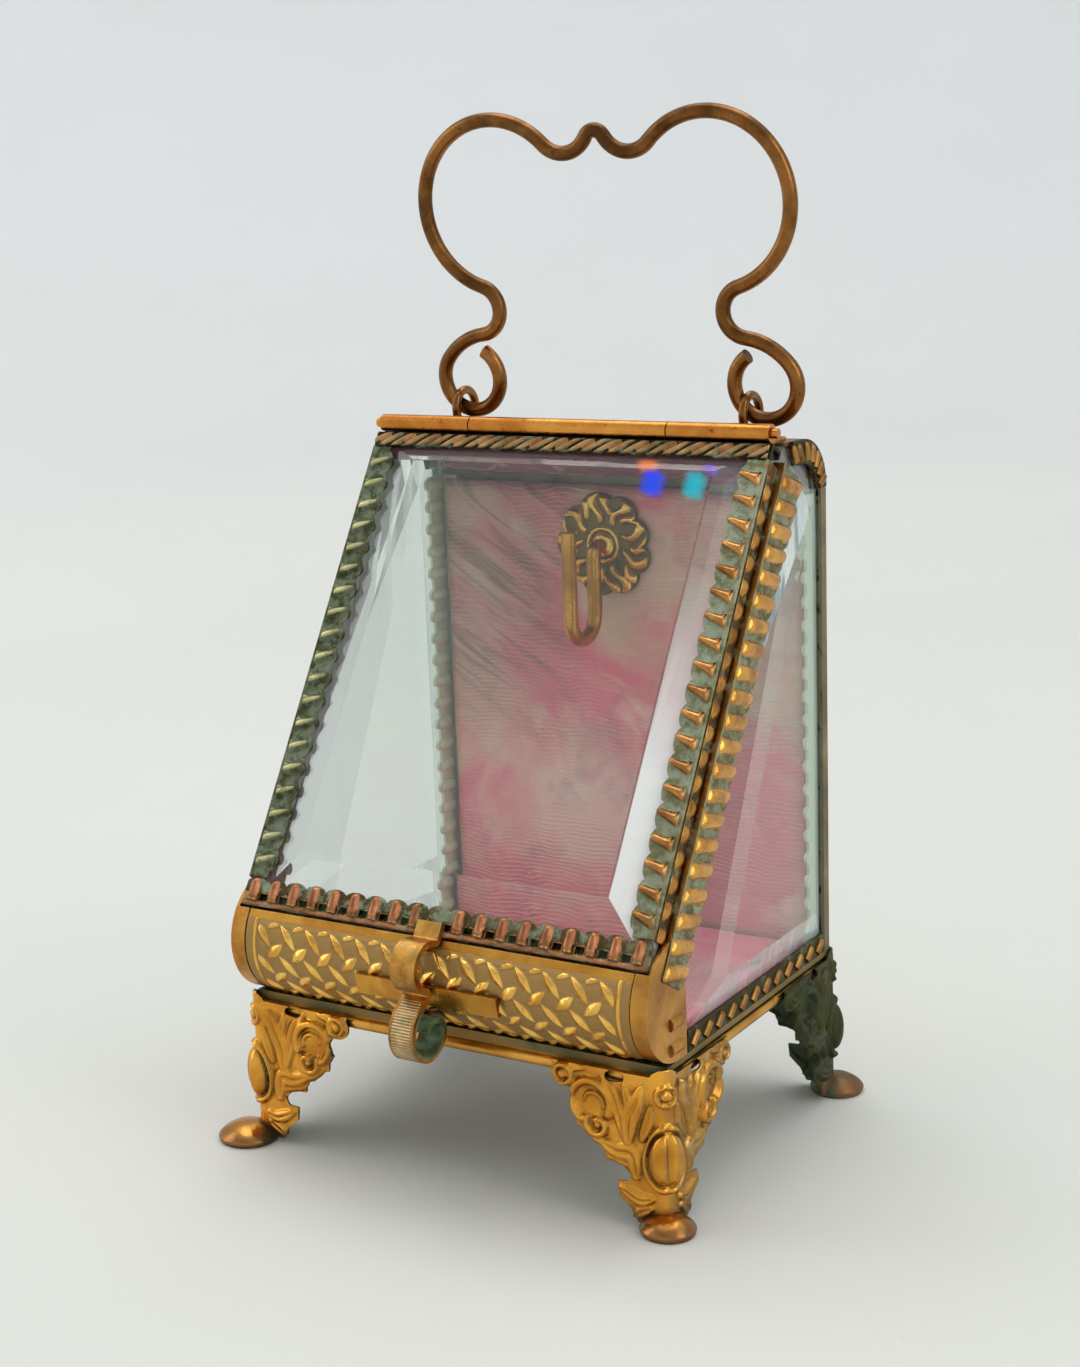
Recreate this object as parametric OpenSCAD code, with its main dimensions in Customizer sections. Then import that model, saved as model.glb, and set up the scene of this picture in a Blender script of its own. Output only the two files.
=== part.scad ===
// Glass watch casket: a small gilt-brass vitrine with bevelled glass sides, a sloping glass door
// hinged at the top, a wire bow handle, four stamped corner feet, and a hook for one pocket watch.
// Units are millimetres. X is to the right, Y to the back, Z up; the floor is Z = 0.

/* [Case] */
// Width over the side strips
case_width = 68; // [58:1:84]
// Depth of the case, from the front of the tray to the back
case_depth = 53; // [46:1:66]
// Height of the upright back, from the tray to where the roof starts to curve
back_height = 70; // [58:1:86]
// Radius of the roof's rounded rear edge
roof_radius = 7.6; // [6.4:0.2:9.2]
// Distance from the back of the case to the hinge axis
hinge_setback = 15; // [13:0.5:18]
// Radius of the bulging front panel below the door
belly_radius = 8.6; // [7.2:0.2:10.4]
// Distance from the front of the tray to the centre of the front panel's curve
belly_setback = 4; // [3:0.5:5]
// Height of the feet, from the floor to the underside of the tray
foot_height = 22.2; // [18:0.5:27]
// Thickness of the stamped brass sheet
sheet = 0.5; // [0.4:0.05:0.6]

/* [Tray] */
// Thickness of the tray's floor plate
tray_thickness = 0.8; // [0.6:0.1:1]
// Radius of the tray's rolled rim
rim_radius = 0.9; // [0.75:0.05:1.05]

/* [Glass] */
// Thickness of the glass at the middle of each pane
glass_thickness = 2.6; // [2.2:0.1:3.1]
// Thickness of the glass at its ground edge
glass_edge = 1.1; // [0.9:0.1:1.3]
// Width of the door glass's bevel at the sides
door_bevel = 7.4; // [6.2:0.2:8.8]
// Width of the door glass's bevel at the bottom
door_foot_bevel = 8.3; // [7.4:0.1:9.6]
// Width of the door glass's bevel at the top
door_top_bevel = 3.9; // [3.6:0.1:4.6]
// Width of a side glass's front bevel at the top
side_bevel_top = 15; // [12.5:0.5:17]
// Width of a side glass's front bevel at the bottom
side_bevel_foot = 18; // [15:0.5:20]
// Width of a side glass's rear bevel
side_bevel_rear = 4.6; // [4:0.2:5.4]
// Width of a side glass's bottom bevel
side_bevel_base = 6.4; // [6:0.2:7.6]

/* [Door] */
// Flat ledge of the front panel, between the door's lower edge and the curve
panel_ledge = 0.9; // [0.8:0.1:1.4]
// How far each side of the door stays inside the case's outer face
door_margin = 0.8; // [0.6:0.1:1.4]
// Play between the door's pane and the lips behind it
pane_play = 0.05; // [0.03:0.01:0.1]
// Gap between the door and the strips that it closes on
door_gap = 0.12; // [0.1:0.01:0.2]
// Width of the frame bands on the door's face
door_band = 4.2; // [3.6:0.1:4.6]
// Smooth outer border of the door's bands
door_border = 0.8; // [0.6:0.1:1]
// Width of the narrow band along the door's top
top_band = 2.4; // [2:0.1:2.7]

/* [Stamped strips] */
// Distance from one lobe of the stamped strips to the next
lobe_pitch = 3.5; // [3:0.1:4.2]
// Width of a lobe
lobe_width = 1.9; // [1.6:0.1:2.3]
// Height of a lobe above its band
lobe_height = 0.55; // [0.45:0.05:0.65]
// Width of the side strips' bands
side_band = 6.6; // [5.6:0.1:7]
// Smooth border of the side strips, between their edge and the lobes
side_border = 1.8; // [1.5:0.1:2.1]
// Height of the strips along the bottom of the side glasses
base_band = 3; // [2.6:0.1:3.2]
// Width of the rear posts' bands
post_band = 5.4; // [4.6:0.1:6.2]

/* [Hinge] */
// Outer radius of the hinge tube
hinge_radius = 1.3; // [1.2:0.05:1.4]
// Radius of the hinge pin
pin_radius = 0.7; // [0.6:0.05:0.75]
// Radial clearance of the hinge pin in the door's knuckle
pin_clearance = 0.05; // [0.02:0.01:0.1]
// Length of the middle knuckle, which belongs to the door
knuckle_length = 33; // [27:0.5:39]

/* [Handle] */
// Distance between the two handle eyes
eye_spacing = 48.8; // [42:0.2:51]
// How much further apart the bow's loops are than the eyes
bow_spread = 0.8; // [0:0.1:1]
// How far the bow has slid to the right in its eyes
bow_shift = 2.2; // [0.5:0.1:2.3]
// How far the bow leans to the right in its eyes, in degrees
bow_lean = 0.5; // [0:0.1:1]
// How far the bow leans to the front, in degrees
bow_tip = 7; // [0:0.5:12]
// Distance from the back of the case to the handle's axis
eye_setback = 4.6; // [3.9:0.1:5.5]
// Radius of the handle's wire
handle_wire = 1.1; // [0.9:0.05:1.3]
// Radius of the wire that the eyes are bent from
eye_wire = 0.65; // [0.55:0.05:0.75]
// Radius of the hole in an eye
eye_hole = 2.05; // [1.9:0.05:2.4]

/* [Fittings] */
// Height of the rosette's centre below the top of the back
rosette_drop = 10; // [9:0.5:12]
// Radius of the rosette over its petals
rosette_radius = 8.2; // [7:0.1:9.8]
// Radius of the watch hook's wire
hook_wire = 1.1; // [0.9:0.05:1.3]
// Distance between the two legs of the watch hook
hook_gap = 7.2; // [6.6:0.1:8.6]
// Length of the catch bar on the front panel
bar_length = 23; // [19:0.5:27]
// Width of the latch clip's spring strip
clip_width = 4; // [3.4:0.1:4.8]
// Thickness of the latch clip's spring strip
clip_thickness = 0.9; // [0.75:0.05:1]

/* [Feet] */
// Reach of a foot's wings along the tray
wing_reach = 18; // [15:0.2:20]
// Radius of a foot's toe
toe_radius = 4.1; // [3.5:0.1:4.8]

/* [Lining] */
// Thickness of the padded silk on the back
back_pad_thickness = 2.4; // [2:0.1:2.9]
// Thickness of the padded silk on the tray
floor_pad_thickness = 2; // [1.7:0.1:2.4]

/* [Hidden] */
$fn = 64;

gilt = [0.80, 0.58, 0.24];
dark_gilt = [0.62, 0.42, 0.18];
copper = [0.60, 0.38, 0.20];
silk = [0.72, 0.46, 0.46];
clear = [0.86, 0.92, 0.90, 0.35];

right = 1;
left = -1;
gap = 0.1;              // clearance between pieces that are only laid together
soft_gap = 0.3;         // clearance around the padded silk

half_width = case_width / 2;
// The origin is under the middle of the whole part; the clip and a toe reach out in front of the case.
case_y = 3;
back_y = case_y + case_depth / 2;
front_y = case_y - case_depth / 2;
tray_top = foot_height + tray_thickness;
roof_y = back_y - roof_radius;
roof_z = tray_top + back_height;
roof_top = roof_z + roof_radius;
hinge_y = back_y - hinge_setback;
hinge_z = roof_top + hinge_radius + 0.3;
belly_y = front_y + belly_setback;
belly_z = tray_top + belly_radius;

// The door's face runs from the hinge axis and touches the front panel's curve.
reach_y = hinge_y - belly_y;
reach_z = hinge_z - belly_z;
reach = norm([reach_y, reach_z]);
door_tilt = atan2(reach_y, reach_z) + asin(belly_radius / reach);
face_length = sqrt(reach * reach - belly_radius * belly_radius);
door_width = case_width - 2 * door_margin;
bevel_rise = glass_thickness - glass_edge;
lip_thickness = 0.35;
// Behind the band's inner edge the bevelled face of the pane clears the band.
pane_sink = sheet + 0.05 + (door_band - sheet) * bevel_rise / door_bevel;
door_thickness = pane_sink + glass_edge + pane_play + lip_thickness;
seat = door_thickness + door_gap;
sill = face_length - panel_ledge;
door_length = sill - 0.4;
band_back = half_width - sheet;

// The outer face of a ground glass edge lies this far behind the band that covers it, so that
// the bevelled face clears the band's inner edge.
edge_sink = 0.6 * bevel_rise;
glass_out = band_back - edge_sink;
glass_in = glass_out - glass_edge;

/* ---------- frames of reference ---------- */

// Lays a drawing in the side profile: its x is Y, its y is Z, and its height runs along +X from x0.
module in_profile(x0) {
    translate([x0, 0, 0]) rotate([90, 0, 90]) children();
}

// Inside in_profile: x runs down the door's face from the hinge axis, y runs inward.
module down_slope() {
    translate([hinge_y, hinge_z, 0]) rotate([0, 0, 270 - door_tilt]) children();
}

// The door's own frame: x is X, y runs up the face to the hinge axis at 0, z runs outward.
module at_door() {
    translate([0, hinge_y, hinge_z]) rotate([90 - door_tilt, 0, 0]) children();
}

// Draws a right-hand piece on the side asked for.
module on_side(side) {
    mirror([side < 0 ? 1 : 0, 0, 0]) children();
}

/* ---------- shared forms ---------- */

// A sheet bent round a centre line along the height, from angle a0 to a1, w wide.
module bent(centre, outer, thick, a0, a1, w) {
    translate([centre.x, centre.y, 0]) rotate([0, 0, a0])
        rotate_extrude(angle = a1 - a0) translate([outer - thick, 0]) square([thick, w]);
}

// A flat sheet that carries on from a bend: it starts at x = 0, a hair thinner, and laps the bend.
module flat_run(len, thick, w) {
    translate([-2 * lap, hair / 2, 0]) cube([len + 2 * lap, thick - hair, w]);
}

// Half of a lobe's cross-section: a low round-topped segment.
module lobe_section(width, height) {
    r = (width * width / 4 + height * height) / (2 * height);
    intersection() {
        translate([0, height - r]) circle(r);
        square([width / 2, height]);
    }
}

// A stamped lobe lying along +x, flat side down, with a round tip.
module lobe(len, width = lobe_width, height = lobe_height) {
    rotate([90, 0, 90]) linear_extrude(len) {
        lobe_section(width, height);
        mirror([1, 0]) lobe_section(width, height);
    }
    translate([len, 0, 0]) rotate([0, 0, -90]) rotate_extrude(angle = 180)
        lobe_section(width, height);
}

// A stamped claw lying along +x: half of a round taper.
module claw(len, root, tip) {
    intersection() {
        rotate([0, 90, 0]) cylinder(r1 = root, r2 = tip, h = len);
        translate([0, -root, 0]) cube([len, 2 * root, root]);
    }
}

// How many lobes fit on a strip, and where the first one stands.
function lobe_count(len) = floor((len - lobe_width) / lobe_pitch) + 1;
function lobe_start(len) = (len - (lobe_count(len) - 1) * lobe_pitch) / 2;

// A flat stamped strip: x along it, y across it from its smooth edge, z out of its face.
module gallery(len, band, border, lean = 0) {
    tip = band - border - lobe_width / 2;
    linear_extrude(sheet) {
        square([len, band - lobe_width / 2]);
        for (i = [0 : lobe_count(len) - 1])
            translate([lobe_start(len) + i * lobe_pitch, band - lobe_width / 2])
                circle(lobe_width / 2);
    }
    for (i = [0 : lobe_count(len) - 1])
        translate([lobe_start(len) + i * lobe_pitch, border, sheet])
            rotate([0, 0, 90 - lean]) lobe(tip - lobe_width * 0.2);
}

// A flat strip stamped with claws and pierced between them, for the door.
module claw_strip(len, band, border, bare = [0, 0]) {
    root = 0.8;
    reach = band - border - 0.9;
    pocket = lobe_pitch - 2 * root - 0.5;
    count = lobe_count(len);
    start = lobe_start(len);
    linear_extrude(sheet) difference() {
        union() {
            square([len, band - lobe_width / 2]);
            for (i = [0 : count - 1])
                translate([start + i * lobe_pitch, band - lobe_width / 2]) circle(lobe_width / 2);
        }
        for (i = [0 : count - 2])
            translate([start + (i + 0.5) * lobe_pitch - pocket / 2, border]) square([pocket, 1.1]);
    }
    for (i = [0 : count - 1])
        let (x = start + i * lobe_pitch)
            if (x < bare[0] || x > bare[1])
                translate([x, border, sheet]) rotate([0, 0, 90]) claw(reach, root, 0.35);
}

// A round wire bent from arcs, in the xy plane: each bend is [radius, turn], and a radius of 0
// is a straight run of that length.
function step_end(p, b) = b[0] == 0
    ? [p[0] + b[1] * cos(p[2]), p[1] + b[1] * sin(p[2]), p[2]]
    : let (c = bend_centre(p, b), s = sign(b[1]), h = p[2] + b[1])
        [c[0] + s * b[0] * sin(h), c[1] - s * b[0] * cos(h), h];
function bend_centre(p, b) = [p[0] - sign(b[1]) * b[0] * sin(p[2]),
    p[1] + sign(b[1]) * b[0] * cos(p[2])];
function bend_end(start, bends, n) = n == 0 ? start
    : step_end(bend_end(start, bends, n - 1), bends[n - 1]);

// Sweeps a section (drawn with x across the path) along the bends. Every second run takes the
// second section, a hair thinner, and reaches a little into its neighbours so that they join.
module follow(start, bends) {
    last = len(bends) - 1;
    for (i = [0 : last]) {
        p = bend_end(start, bends, i);
        b = bends[i];
        c = bend_centre(p, b);
        before = i % 2 == 1 ? lap : 0;
        after = i % 2 == 1 && i < last ? lap : 0;
        if (b[0] == 0)
            translate([p[0], p[1], 0]) rotate([0, 0, p[2]]) rotate([90, 0, 90])
                translate([0, 0, -before]) linear_extrude(b[1] + before + after)
                    children(i % 2);
        else {
            turn_before = before / b[0] * 180 / PI;
            turn_after = after / b[0] * 180 / PI;
            first = b[1] > 0 ? p[2] - 90 - turn_before : p[2] + 90 + b[1] - turn_after;
            translate([c[0], c[1], 0]) rotate([0, 0, first])
                rotate_extrude(angle = abs(b[1]) + turn_before + turn_after)
                    translate([b[0], 0]) children(i % 2);
        }
    }
}
lap = 0.1;
hair = 0.02;

/* ---------- case: tray and front ---------- */

rim_z = foot_height - 1.5;
rim_x = half_width - rim_radius;
rim_y = case_depth / 2 - 0.95;

module base_tray() {
    skirt_x = rim_x + sheet / 2;
    skirt_front = rim_y + sheet / 2;
    color(dark_gilt) translate([0, case_y, 0]) {
        translate([-half_width, 0.7 - case_depth / 2, foot_height])
            cube([case_width, case_depth - 0.7, tray_thickness]);
        difference() {
            translate([-skirt_x, -skirt_front, rim_z])
                cube([2 * skirt_x, 2 * skirt_front, foot_height - rim_z + gap]);
            translate([-skirt_x + sheet, -skirt_front + sheet, rim_z - 1])
                cube([2 * (skirt_x - sheet), 2 * (skirt_front - sheet), foot_height - rim_z + 1]);
        }
        for (y = [-rim_y, rim_y])
            translate([-rim_x, y, rim_z]) rotate([0, 90, 0]) cylinder(r = rim_radius, h = 2 * rim_x);
        for (x = [-rim_x, rim_x])
            translate([x, -rim_y, rim_z]) rotate([-90, 0, 0]) cylinder(r = rim_radius, h = 2 * rim_y);
        for (x = [-rim_x, rim_x], y = [-rim_y, rim_y])
            translate([x, y, rim_z]) sphere(rim_radius);
    }
}

flange_in = glass_in + gap;
panel_half = flange_in - 0.2;
face_angle = 180 - door_tilt;
belly = [belly_y, belly_z];
panel_lip = 1.5;

module front_panel() {
    color(gilt) in_profile(-panel_half) {
        bent(belly, belly_radius - gap, sheet, face_angle, 270, 2 * panel_half);
        translate([belly_y, tray_top + gap, 0]) flat_run(panel_lip, sheet, 2 * panel_half);
        down_slope() {
            translate([face_length, gap + sheet, 0]) rotate([0, 0, 180])
                flat_run(face_length - sill, sheet, 2 * panel_half);
            translate([sill, gap, 0]) cube([sheet, seat + 1.2, 2 * panel_half]);
        }
    }
}

bar_angle = face_angle + 45;
bar_thickness = 0.9;
bar_height = 2.8;

module catch_bar() {
    bar_turn = bar_height / belly_radius * 180 / PI;
    color(gilt) in_profile(-bar_length / 2)
        bent(belly, belly_radius + bar_thickness, bar_thickness, bar_angle - bar_turn / 2,
            bar_angle + bar_turn / 2, bar_length);
}

/* ---------- case: stamped strips ---------- */

strip_start = 3;
strip_length = sill - strip_start;
skirt_y = belly_y + 2.4;

// The part of a side strip beside the front panel, as a flat outline in the side profile.
module belly_side() {
    intersection() {
        union() {
            translate(belly) circle(belly_radius);
            translate([hinge_y, hinge_z]) rotate(270 - door_tilt)
                translate([sill, 0]) square([face_length - sill, belly_radius]);
            translate([belly_y, tray_top]) square([skirt_y - belly_y, belly_radius]);
        }
        translate([belly_y - 2 * belly_radius, tray_top])
            square([skirt_y - belly_y + 2 * belly_radius, 3 * belly_radius]);
    }
}

module side_strip(side) {
    color(gilt) on_side(side) {
        in_profile(band_back) {
            down_slope() translate([strip_start, seat, 0])
                gallery(strip_length, side_band, side_border);
            linear_extrude(sheet) belly_side();
            for (i = [0 : 1])
                translate([belly_y - 2.2, tray_top + 2 + i * lobe_pitch, sheet])
                    lobe(side_band - side_border - lobe_width);
        }
        in_profile(flange_in) {
            flange = band_back - flange_in;
            down_slope() {
                translate([strip_start, seat, 0]) cube([strip_length, sheet, flange]);
                translate([sill, 0, 0]) cube([face_length - sill, sheet, flange]);
                translate([sill, 0, 0]) cube([sheet, seat + sheet, flange]);
            }
            bent(belly, belly_radius - hair, sheet - 2 * hair, face_angle, 262, flange);
        }
    }
}

bottom_start = skirt_y + 0.4;
bottom_length = back_y - 2.2 - bottom_start;

module side_bottom_strip(side) {
    teeth = floor(bottom_length / lobe_pitch);
    color(dark_gilt) on_side(side) in_profile(band_back) translate([bottom_start, tray_top, 0]) {
        linear_extrude(sheet) square([bottom_length, base_band]);
        for (i = [0 : teeth - 1])
            translate([(i + 0.25) * bottom_length / teeth, 0.7, sheet])
                rotate([0, 0, 40]) lobe(1.9, 1.3, lobe_height);
    }
}

roof_band = 3.4;

module roof_strip(side) {
    inner = roof_radius - roof_band;
    run = roof_y - hinge_y - 4;
    turn = 90 / 5;
    color(dark_gilt) on_side(side) in_profile(band_back) {
        bent([roof_y, roof_z], roof_radius, roof_band, 0, 90, sheet);
        translate([roof_y, roof_top, 0]) rotate([0, 0, 180]) flat_run(run, roof_band, sheet);
        for (i = [0 : 4])
            translate([roof_y, roof_z, sheet]) rotate([0, 0, (i + 0.3) * turn])
                translate([inner + 0.6, 0, 0]) rotate([0, 0, 25]) lobe(1.9, 1.3, lobe_height);
        for (i = [0 : 1])
            translate([roof_y - (i + 0.6) * run / 2, roof_top - roof_band + 0.6, sheet])
                rotate([0, 0, 115]) lobe(1.9, 1.3, lobe_height);
    }
}

module rear_post(side) {
    post_foot = tray_top + gap;
    post_length = roof_z - 1 - post_foot;
    leg = 3;
    color(dark_gilt) on_side(side) translate([glass_in - gap, back_y - sheet - gap, post_foot]) {
        translate([0, 0, post_length]) rotate([180, 90, 0])
            gallery(post_length, post_band, side_border);
        translate([-leg, -sheet, 0]) cube([leg, sheet, post_length]);
    }
}

/* ---------- case: roof and back ---------- */

roof_half = band_back - gap;
header = 5;
front_corner_drop = (roof_top - hinge_z + seat * sin(door_tilt)) / cos(door_tilt);
roof_front = hinge_y + front_corner_drop * sin(door_tilt) + seat * cos(door_tilt);

module roof_panel() {
    color(gilt) difference() {
        in_profile(-roof_half) {
            bent([roof_y, roof_z], roof_radius, sheet, 0, 90, 2 * roof_half);
            translate([roof_y, roof_top, 0]) rotate([0, 0, 180])
                flat_run(roof_y - roof_front, sheet, 2 * roof_half);
        }
        for (side = [left, right])
            translate([side * eye_x, eye_y, roof_z]) cylinder(r = shank_hole, h = 2 * roof_radius);
    }
    color(gilt) in_profile(-flange_in + gap) down_slope()
        translate([-front_corner_drop, seat, 0])
            cube([header, sheet, 2 * (flange_in - gap)]);
}

module back_panel() {
    fold = 1.6;
    color(gilt) {
        translate([-roof_half, back_y - sheet, tray_top])
            cube([2 * roof_half, sheet, back_height - gap]);
        for (side = [left, right])
            on_side(side) translate([roof_half, back_y - fold, tray_top])
                cube([sheet, fold, back_height - gap]);
    }
}

/* ---------- case: glass ---------- */

// The outline of a side glass in the side profile, drawn in by d from the case's outline.
module glass_outline(d) {
    polygon([
        [belly_y, tray_top + d],
        [back_y - d, tray_top + d],
        [back_y - d, roof_z],
        [roof_y, roof_top - d],
        [roof_front + 1.2, roof_top - d],
        slope_point(header, seat + d),
        slope_point(face_length, seat + d),
    ]);
    intersection() {
        translate([roof_y, roof_z]) circle(roof_radius - d);
        translate([roof_y, roof_z]) square(roof_radius);
    }
    translate(belly) circle(belly_radius - seat - d);
}
// A point of the side profile, given down the slope and inward from the door's face.
function slope_point(s, n) = [hinge_y - s * sin(door_tilt) + n * cos(door_tilt),
    hinge_z - s * cos(door_tilt) - n * sin(door_tilt)];
// The Y of the line at n inward from the door's face, at height z.
function slope_y(z, n) = hinge_y - (hinge_z - z) * tan(door_tilt) + n / cos(door_tilt);

side_top_drop = 2.6;

module side_glass(side) {
    fit = sheet + gap;
    base = tray_top + fit + side_bevel_base;
    rear = back_y - fit - side_bevel_rear;
    top = roof_z - side_top_drop;
    crown = min(slope_y(top, seat + fit + side_bevel_top), rear - 0.5);
    toe = slope_y(base, seat + fit + side_bevel_foot);
    color(clear) on_side(side) in_profile(glass_in) hull() {
        linear_extrude(glass_edge) glass_outline(fit);
        linear_extrude(glass_thickness)
            polygon([[toe, base], [rear, base], [rear, top], [crown, top]]);
    }
}

/* ---------- case: lining ---------- */

pad_half = glass_in - sheet - gap - lobe_height - soft_gap;
pad_foot = tray_top + soft_gap;
pad_back = back_y - 2 * sheet - gap - soft_gap;

module back_pad() {
    color(silk) difference() {
        translate([-pad_half, pad_back - back_pad_thickness, pad_foot])
            cube([2 * pad_half, back_pad_thickness, roof_z - 1.5 - pad_foot]);
        translate([0, pad_back - 2 * back_pad_thickness, rosette_z]) rotate([-90, 0, 0])
            cylinder(r = rosette_shank + soft_gap, h = 3 * back_pad_thickness);
    }
}

module floor_pad() {
    pad_front = belly_y + panel_lip + soft_gap;
    color(silk) translate([-pad_half, pad_front, pad_foot])
        cube([2 * pad_half, pad_back - back_pad_thickness - soft_gap - pad_front,
            floor_pad_thickness]);
}

lining_gap = 1.2;
lining_thickness = 1.2;

module roof_lining() {
    outer = roof_radius - sheet - lining_gap;
    lining_front = slope_point(header, seat + sheet + soft_gap).x + 2.5;
    color(silk) in_profile(-pad_half) {
        bent([roof_y, roof_z], outer, lining_thickness, 0, 90, 2 * pad_half);
        translate([roof_y, roof_z + outer, 0]) rotate([0, 0, 180])
            flat_run(roof_y - lining_front, lining_thickness, 2 * pad_half);
    }
}

/* ---------- case: rosette and hook ---------- */

rosette_z = roof_z - rosette_drop;
rosette_back = pad_back - back_pad_thickness - soft_gap;
rosette_shank = 1.1;
rosette_plate = 0.7;
petals = 10;

module rosette() {
    petal = rosette_radius * 0.27;
    ring = rosette_radius - petal;
    color(gilt) translate([0, rosette_back, rosette_z]) rotate([90, 0, 0]) {
        linear_extrude(rosette_plate) {
            circle(ring);
            for (i = [0 : petals - 1]) rotate(i * 360 / petals) translate([ring, 0]) circle(petal);
        }
        for (i = [0 : petals - 1])
            rotate([0, 0, i * 360 / petals]) translate([2.2, 0, rosette_plate])
                lobe(ring - 2.2, petal * 1.5, 0.7);
        translate([0, 0, rosette_plate]) cylinder(r = 1.9, h = 1);
        translate([0, 0, -(pad_back - rosette_back) - soft_gap - sheet])
            cylinder(r = rosette_shank, h = pad_back - rosette_back + soft_gap + sheet);
    }
}

hook_start = rosette_back - rosette_plate - 1;
hook_drop = 8.2;
hook_rise = 13;

module watch_hook() {
    elbow = 1.5;
    color(gilt) in_profile(0)
        follow([hook_start, rosette_z, 180],
            [[0, 0.6], [elbow, 90], [0, hook_drop], [hook_gap / 2, -180], [0, hook_rise]]) {
                circle(hook_wire);
                circle(hook_wire - hair);
            }
}

/* ---------- hinge ---------- */

hinge_half = half_width - 1.4;
knuckle_gap = 0.2;

module hinge_frame_knuckles() {
    leaf = 4.5;
    leaf_thickness = 0.6;
    knuckle = hinge_half - knuckle_length / 2 - knuckle_gap;
    color(gilt) for (side = [left, right])
        on_side(side) translate([hinge_half - knuckle, hinge_y, hinge_z]) difference() {
            union() {
                rotate([0, 90, 0]) cylinder(r = hinge_radius, h = knuckle);
                translate([0, 0, roof_top + gap - hinge_z]) cube([knuckle, leaf, leaf_thickness]);
            }
            translate([-1, 0, 0]) rotate([0, 90, 0])
                cylinder(r = pin_radius + pin_clearance, h = knuckle + 2);
        }
}

module hinge_pin() {
    pin_half = hinge_half + 1;
    color(copper) translate([-pin_half, hinge_y, hinge_z]) rotate([0, 90, 0])
        cylinder(r = pin_radius, h = 2 * pin_half);
}

module hinge_door_knuckle() {
    web = 0.6;
    color(gilt) at_door() difference() {
        union() {
            translate([-knuckle_length / 2, 0, 0]) rotate([0, 90, 0])
                cylinder(r = hinge_radius, h = knuckle_length);
            translate([-knuckle_length / 2, -door_top, -hinge_radius])
                cube([knuckle_length, door_top - 0.3, web]);
        }
        translate([-knuckle_length / 2 - 1, 0, 0]) rotate([0, 90, 0])
            cylinder(r = pin_radius + pin_clearance, h = knuckle_length + 2);
    }
}

/* ---------- door ---------- */

door_top = hinge_radius + 0.25;
door_half = door_width / 2;
lip = 1.2;
pane_half = door_half - sheet - gap;
pane_top = door_top + sheet + gap;
pane_foot = door_length - sheet - gap;

module door_glass() {
    color(clear) at_door() translate([0, 0, -pane_sink - glass_edge]) hull() {
        translate([-pane_half, -pane_foot, 0])
            cube([2 * pane_half, pane_foot - pane_top, glass_edge]);
        translate([-pane_half + door_bevel, -pane_foot + door_foot_bevel, 0])
            cube([2 * (pane_half - door_bevel),
                pane_foot - pane_top - door_foot_bevel - door_top_bevel, glass_thickness]);
    }
}

// One side of the door frame: a stamped band on the face, an edge wall and a narrow back lip.
// x runs along the piece, y inward from its outer edge, z out of the face.
module frame_rail(len, band, border, bare = [0, 0]) {
    translate([0, 0, -sheet]) claw_strip(len, band, border, bare);
    translate([0, 0, -door_thickness]) cube([len, sheet, door_thickness]);
    translate([0, 0, -door_thickness]) cube([len, lip, lip_thickness]);
}

stile_gap = 0.05;
stile_length = door_length - door_top - top_band - door_band - 2 * stile_gap;

module door_stile(side) {
    color(dark_gilt) on_side(side) at_door()
        translate([door_half, -door_length + door_band + stile_gap, 0]) rotate([0, 0, 90])
            frame_rail(stile_length, door_band, door_border);
}

module door_bottom_rail() {
    color(dark_gilt) at_door() translate([-door_half, -door_length, 0])
        frame_rail(door_width, door_band, door_border,
            [door_half + clip_x - clip_width / 2 - 0.9, door_half + clip_x + clip_width / 2 + 0.9]);
}

module door_top_rail() {
    teeth = floor(door_width / (1.2 * lobe_pitch));
    color(dark_gilt) at_door() translate([door_half, -door_top, 0]) rotate([0, 0, 180]) {
        translate([0, 0, -sheet]) linear_extrude(sheet) square([door_width, top_band]);
        translate([0, 0, -door_thickness]) cube([door_width, sheet, door_thickness]);
        translate([0, 0, -door_thickness]) cube([door_width, lip, lip_thickness]);
        for (i = [0 : teeth - 1])
            translate([(i + 0.3) * door_width / teeth, 0.7, 0])
                rotate([0, 0, 25]) lobe(1.8, 1.2, lobe_height);
    }
}

/* ---------- latch ---------- */

clip_tab = 1.8;
clip_x = -0.5;
// The clip's bends keep step with the panel's curve that they hook over.
clip_scale = belly_radius / 8.6;
clip_bends = [[0, clip_tab + 0.4], [0.8, -72], [0, 1.2], [3.2, 172], [0, 0.5], [0.7, -122],
    [0, 2.6], [3.9, 195], [2.2, 190]];

module strip_section(less) {
    translate([(less - clip_thickness) / 2, less / 2])
        square([clip_thickness - less, clip_width - less]);
}

module latch_clip() {
    start = [-door_length + clip_tab * clip_scale, clip_thickness / 2 + gap, 180];
    bends = [for (b = clip_bends) b[0] == 0 ? [0, b[1] * clip_scale] : [b[0] * clip_scale, b[1]]];
    color(gilt) in_profile(clip_x - clip_width / 2)
        translate([hinge_y, hinge_z, 0]) rotate([0, 0, 90 - door_tilt])
            follow(start, bends) {
                strip_section(0);
                strip_section(hair);
            }
}

/* ---------- handle ---------- */

eye_x = eye_spacing / 2;
eye_y = back_y - eye_setback;
eye_foot = roof_z + sqrt(roof_radius * roof_radius - pow(eye_y - roof_y, 2));
eye_ring = eye_hole + eye_wire;
eye_z = roof_z + sqrt(pow(roof_radius + eye_ring + eye_wire + gap, 2) - pow(eye_y - roof_y, 2));
shank_radius = 0.65;
shank_hole = shank_radius + 0.05;

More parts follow.
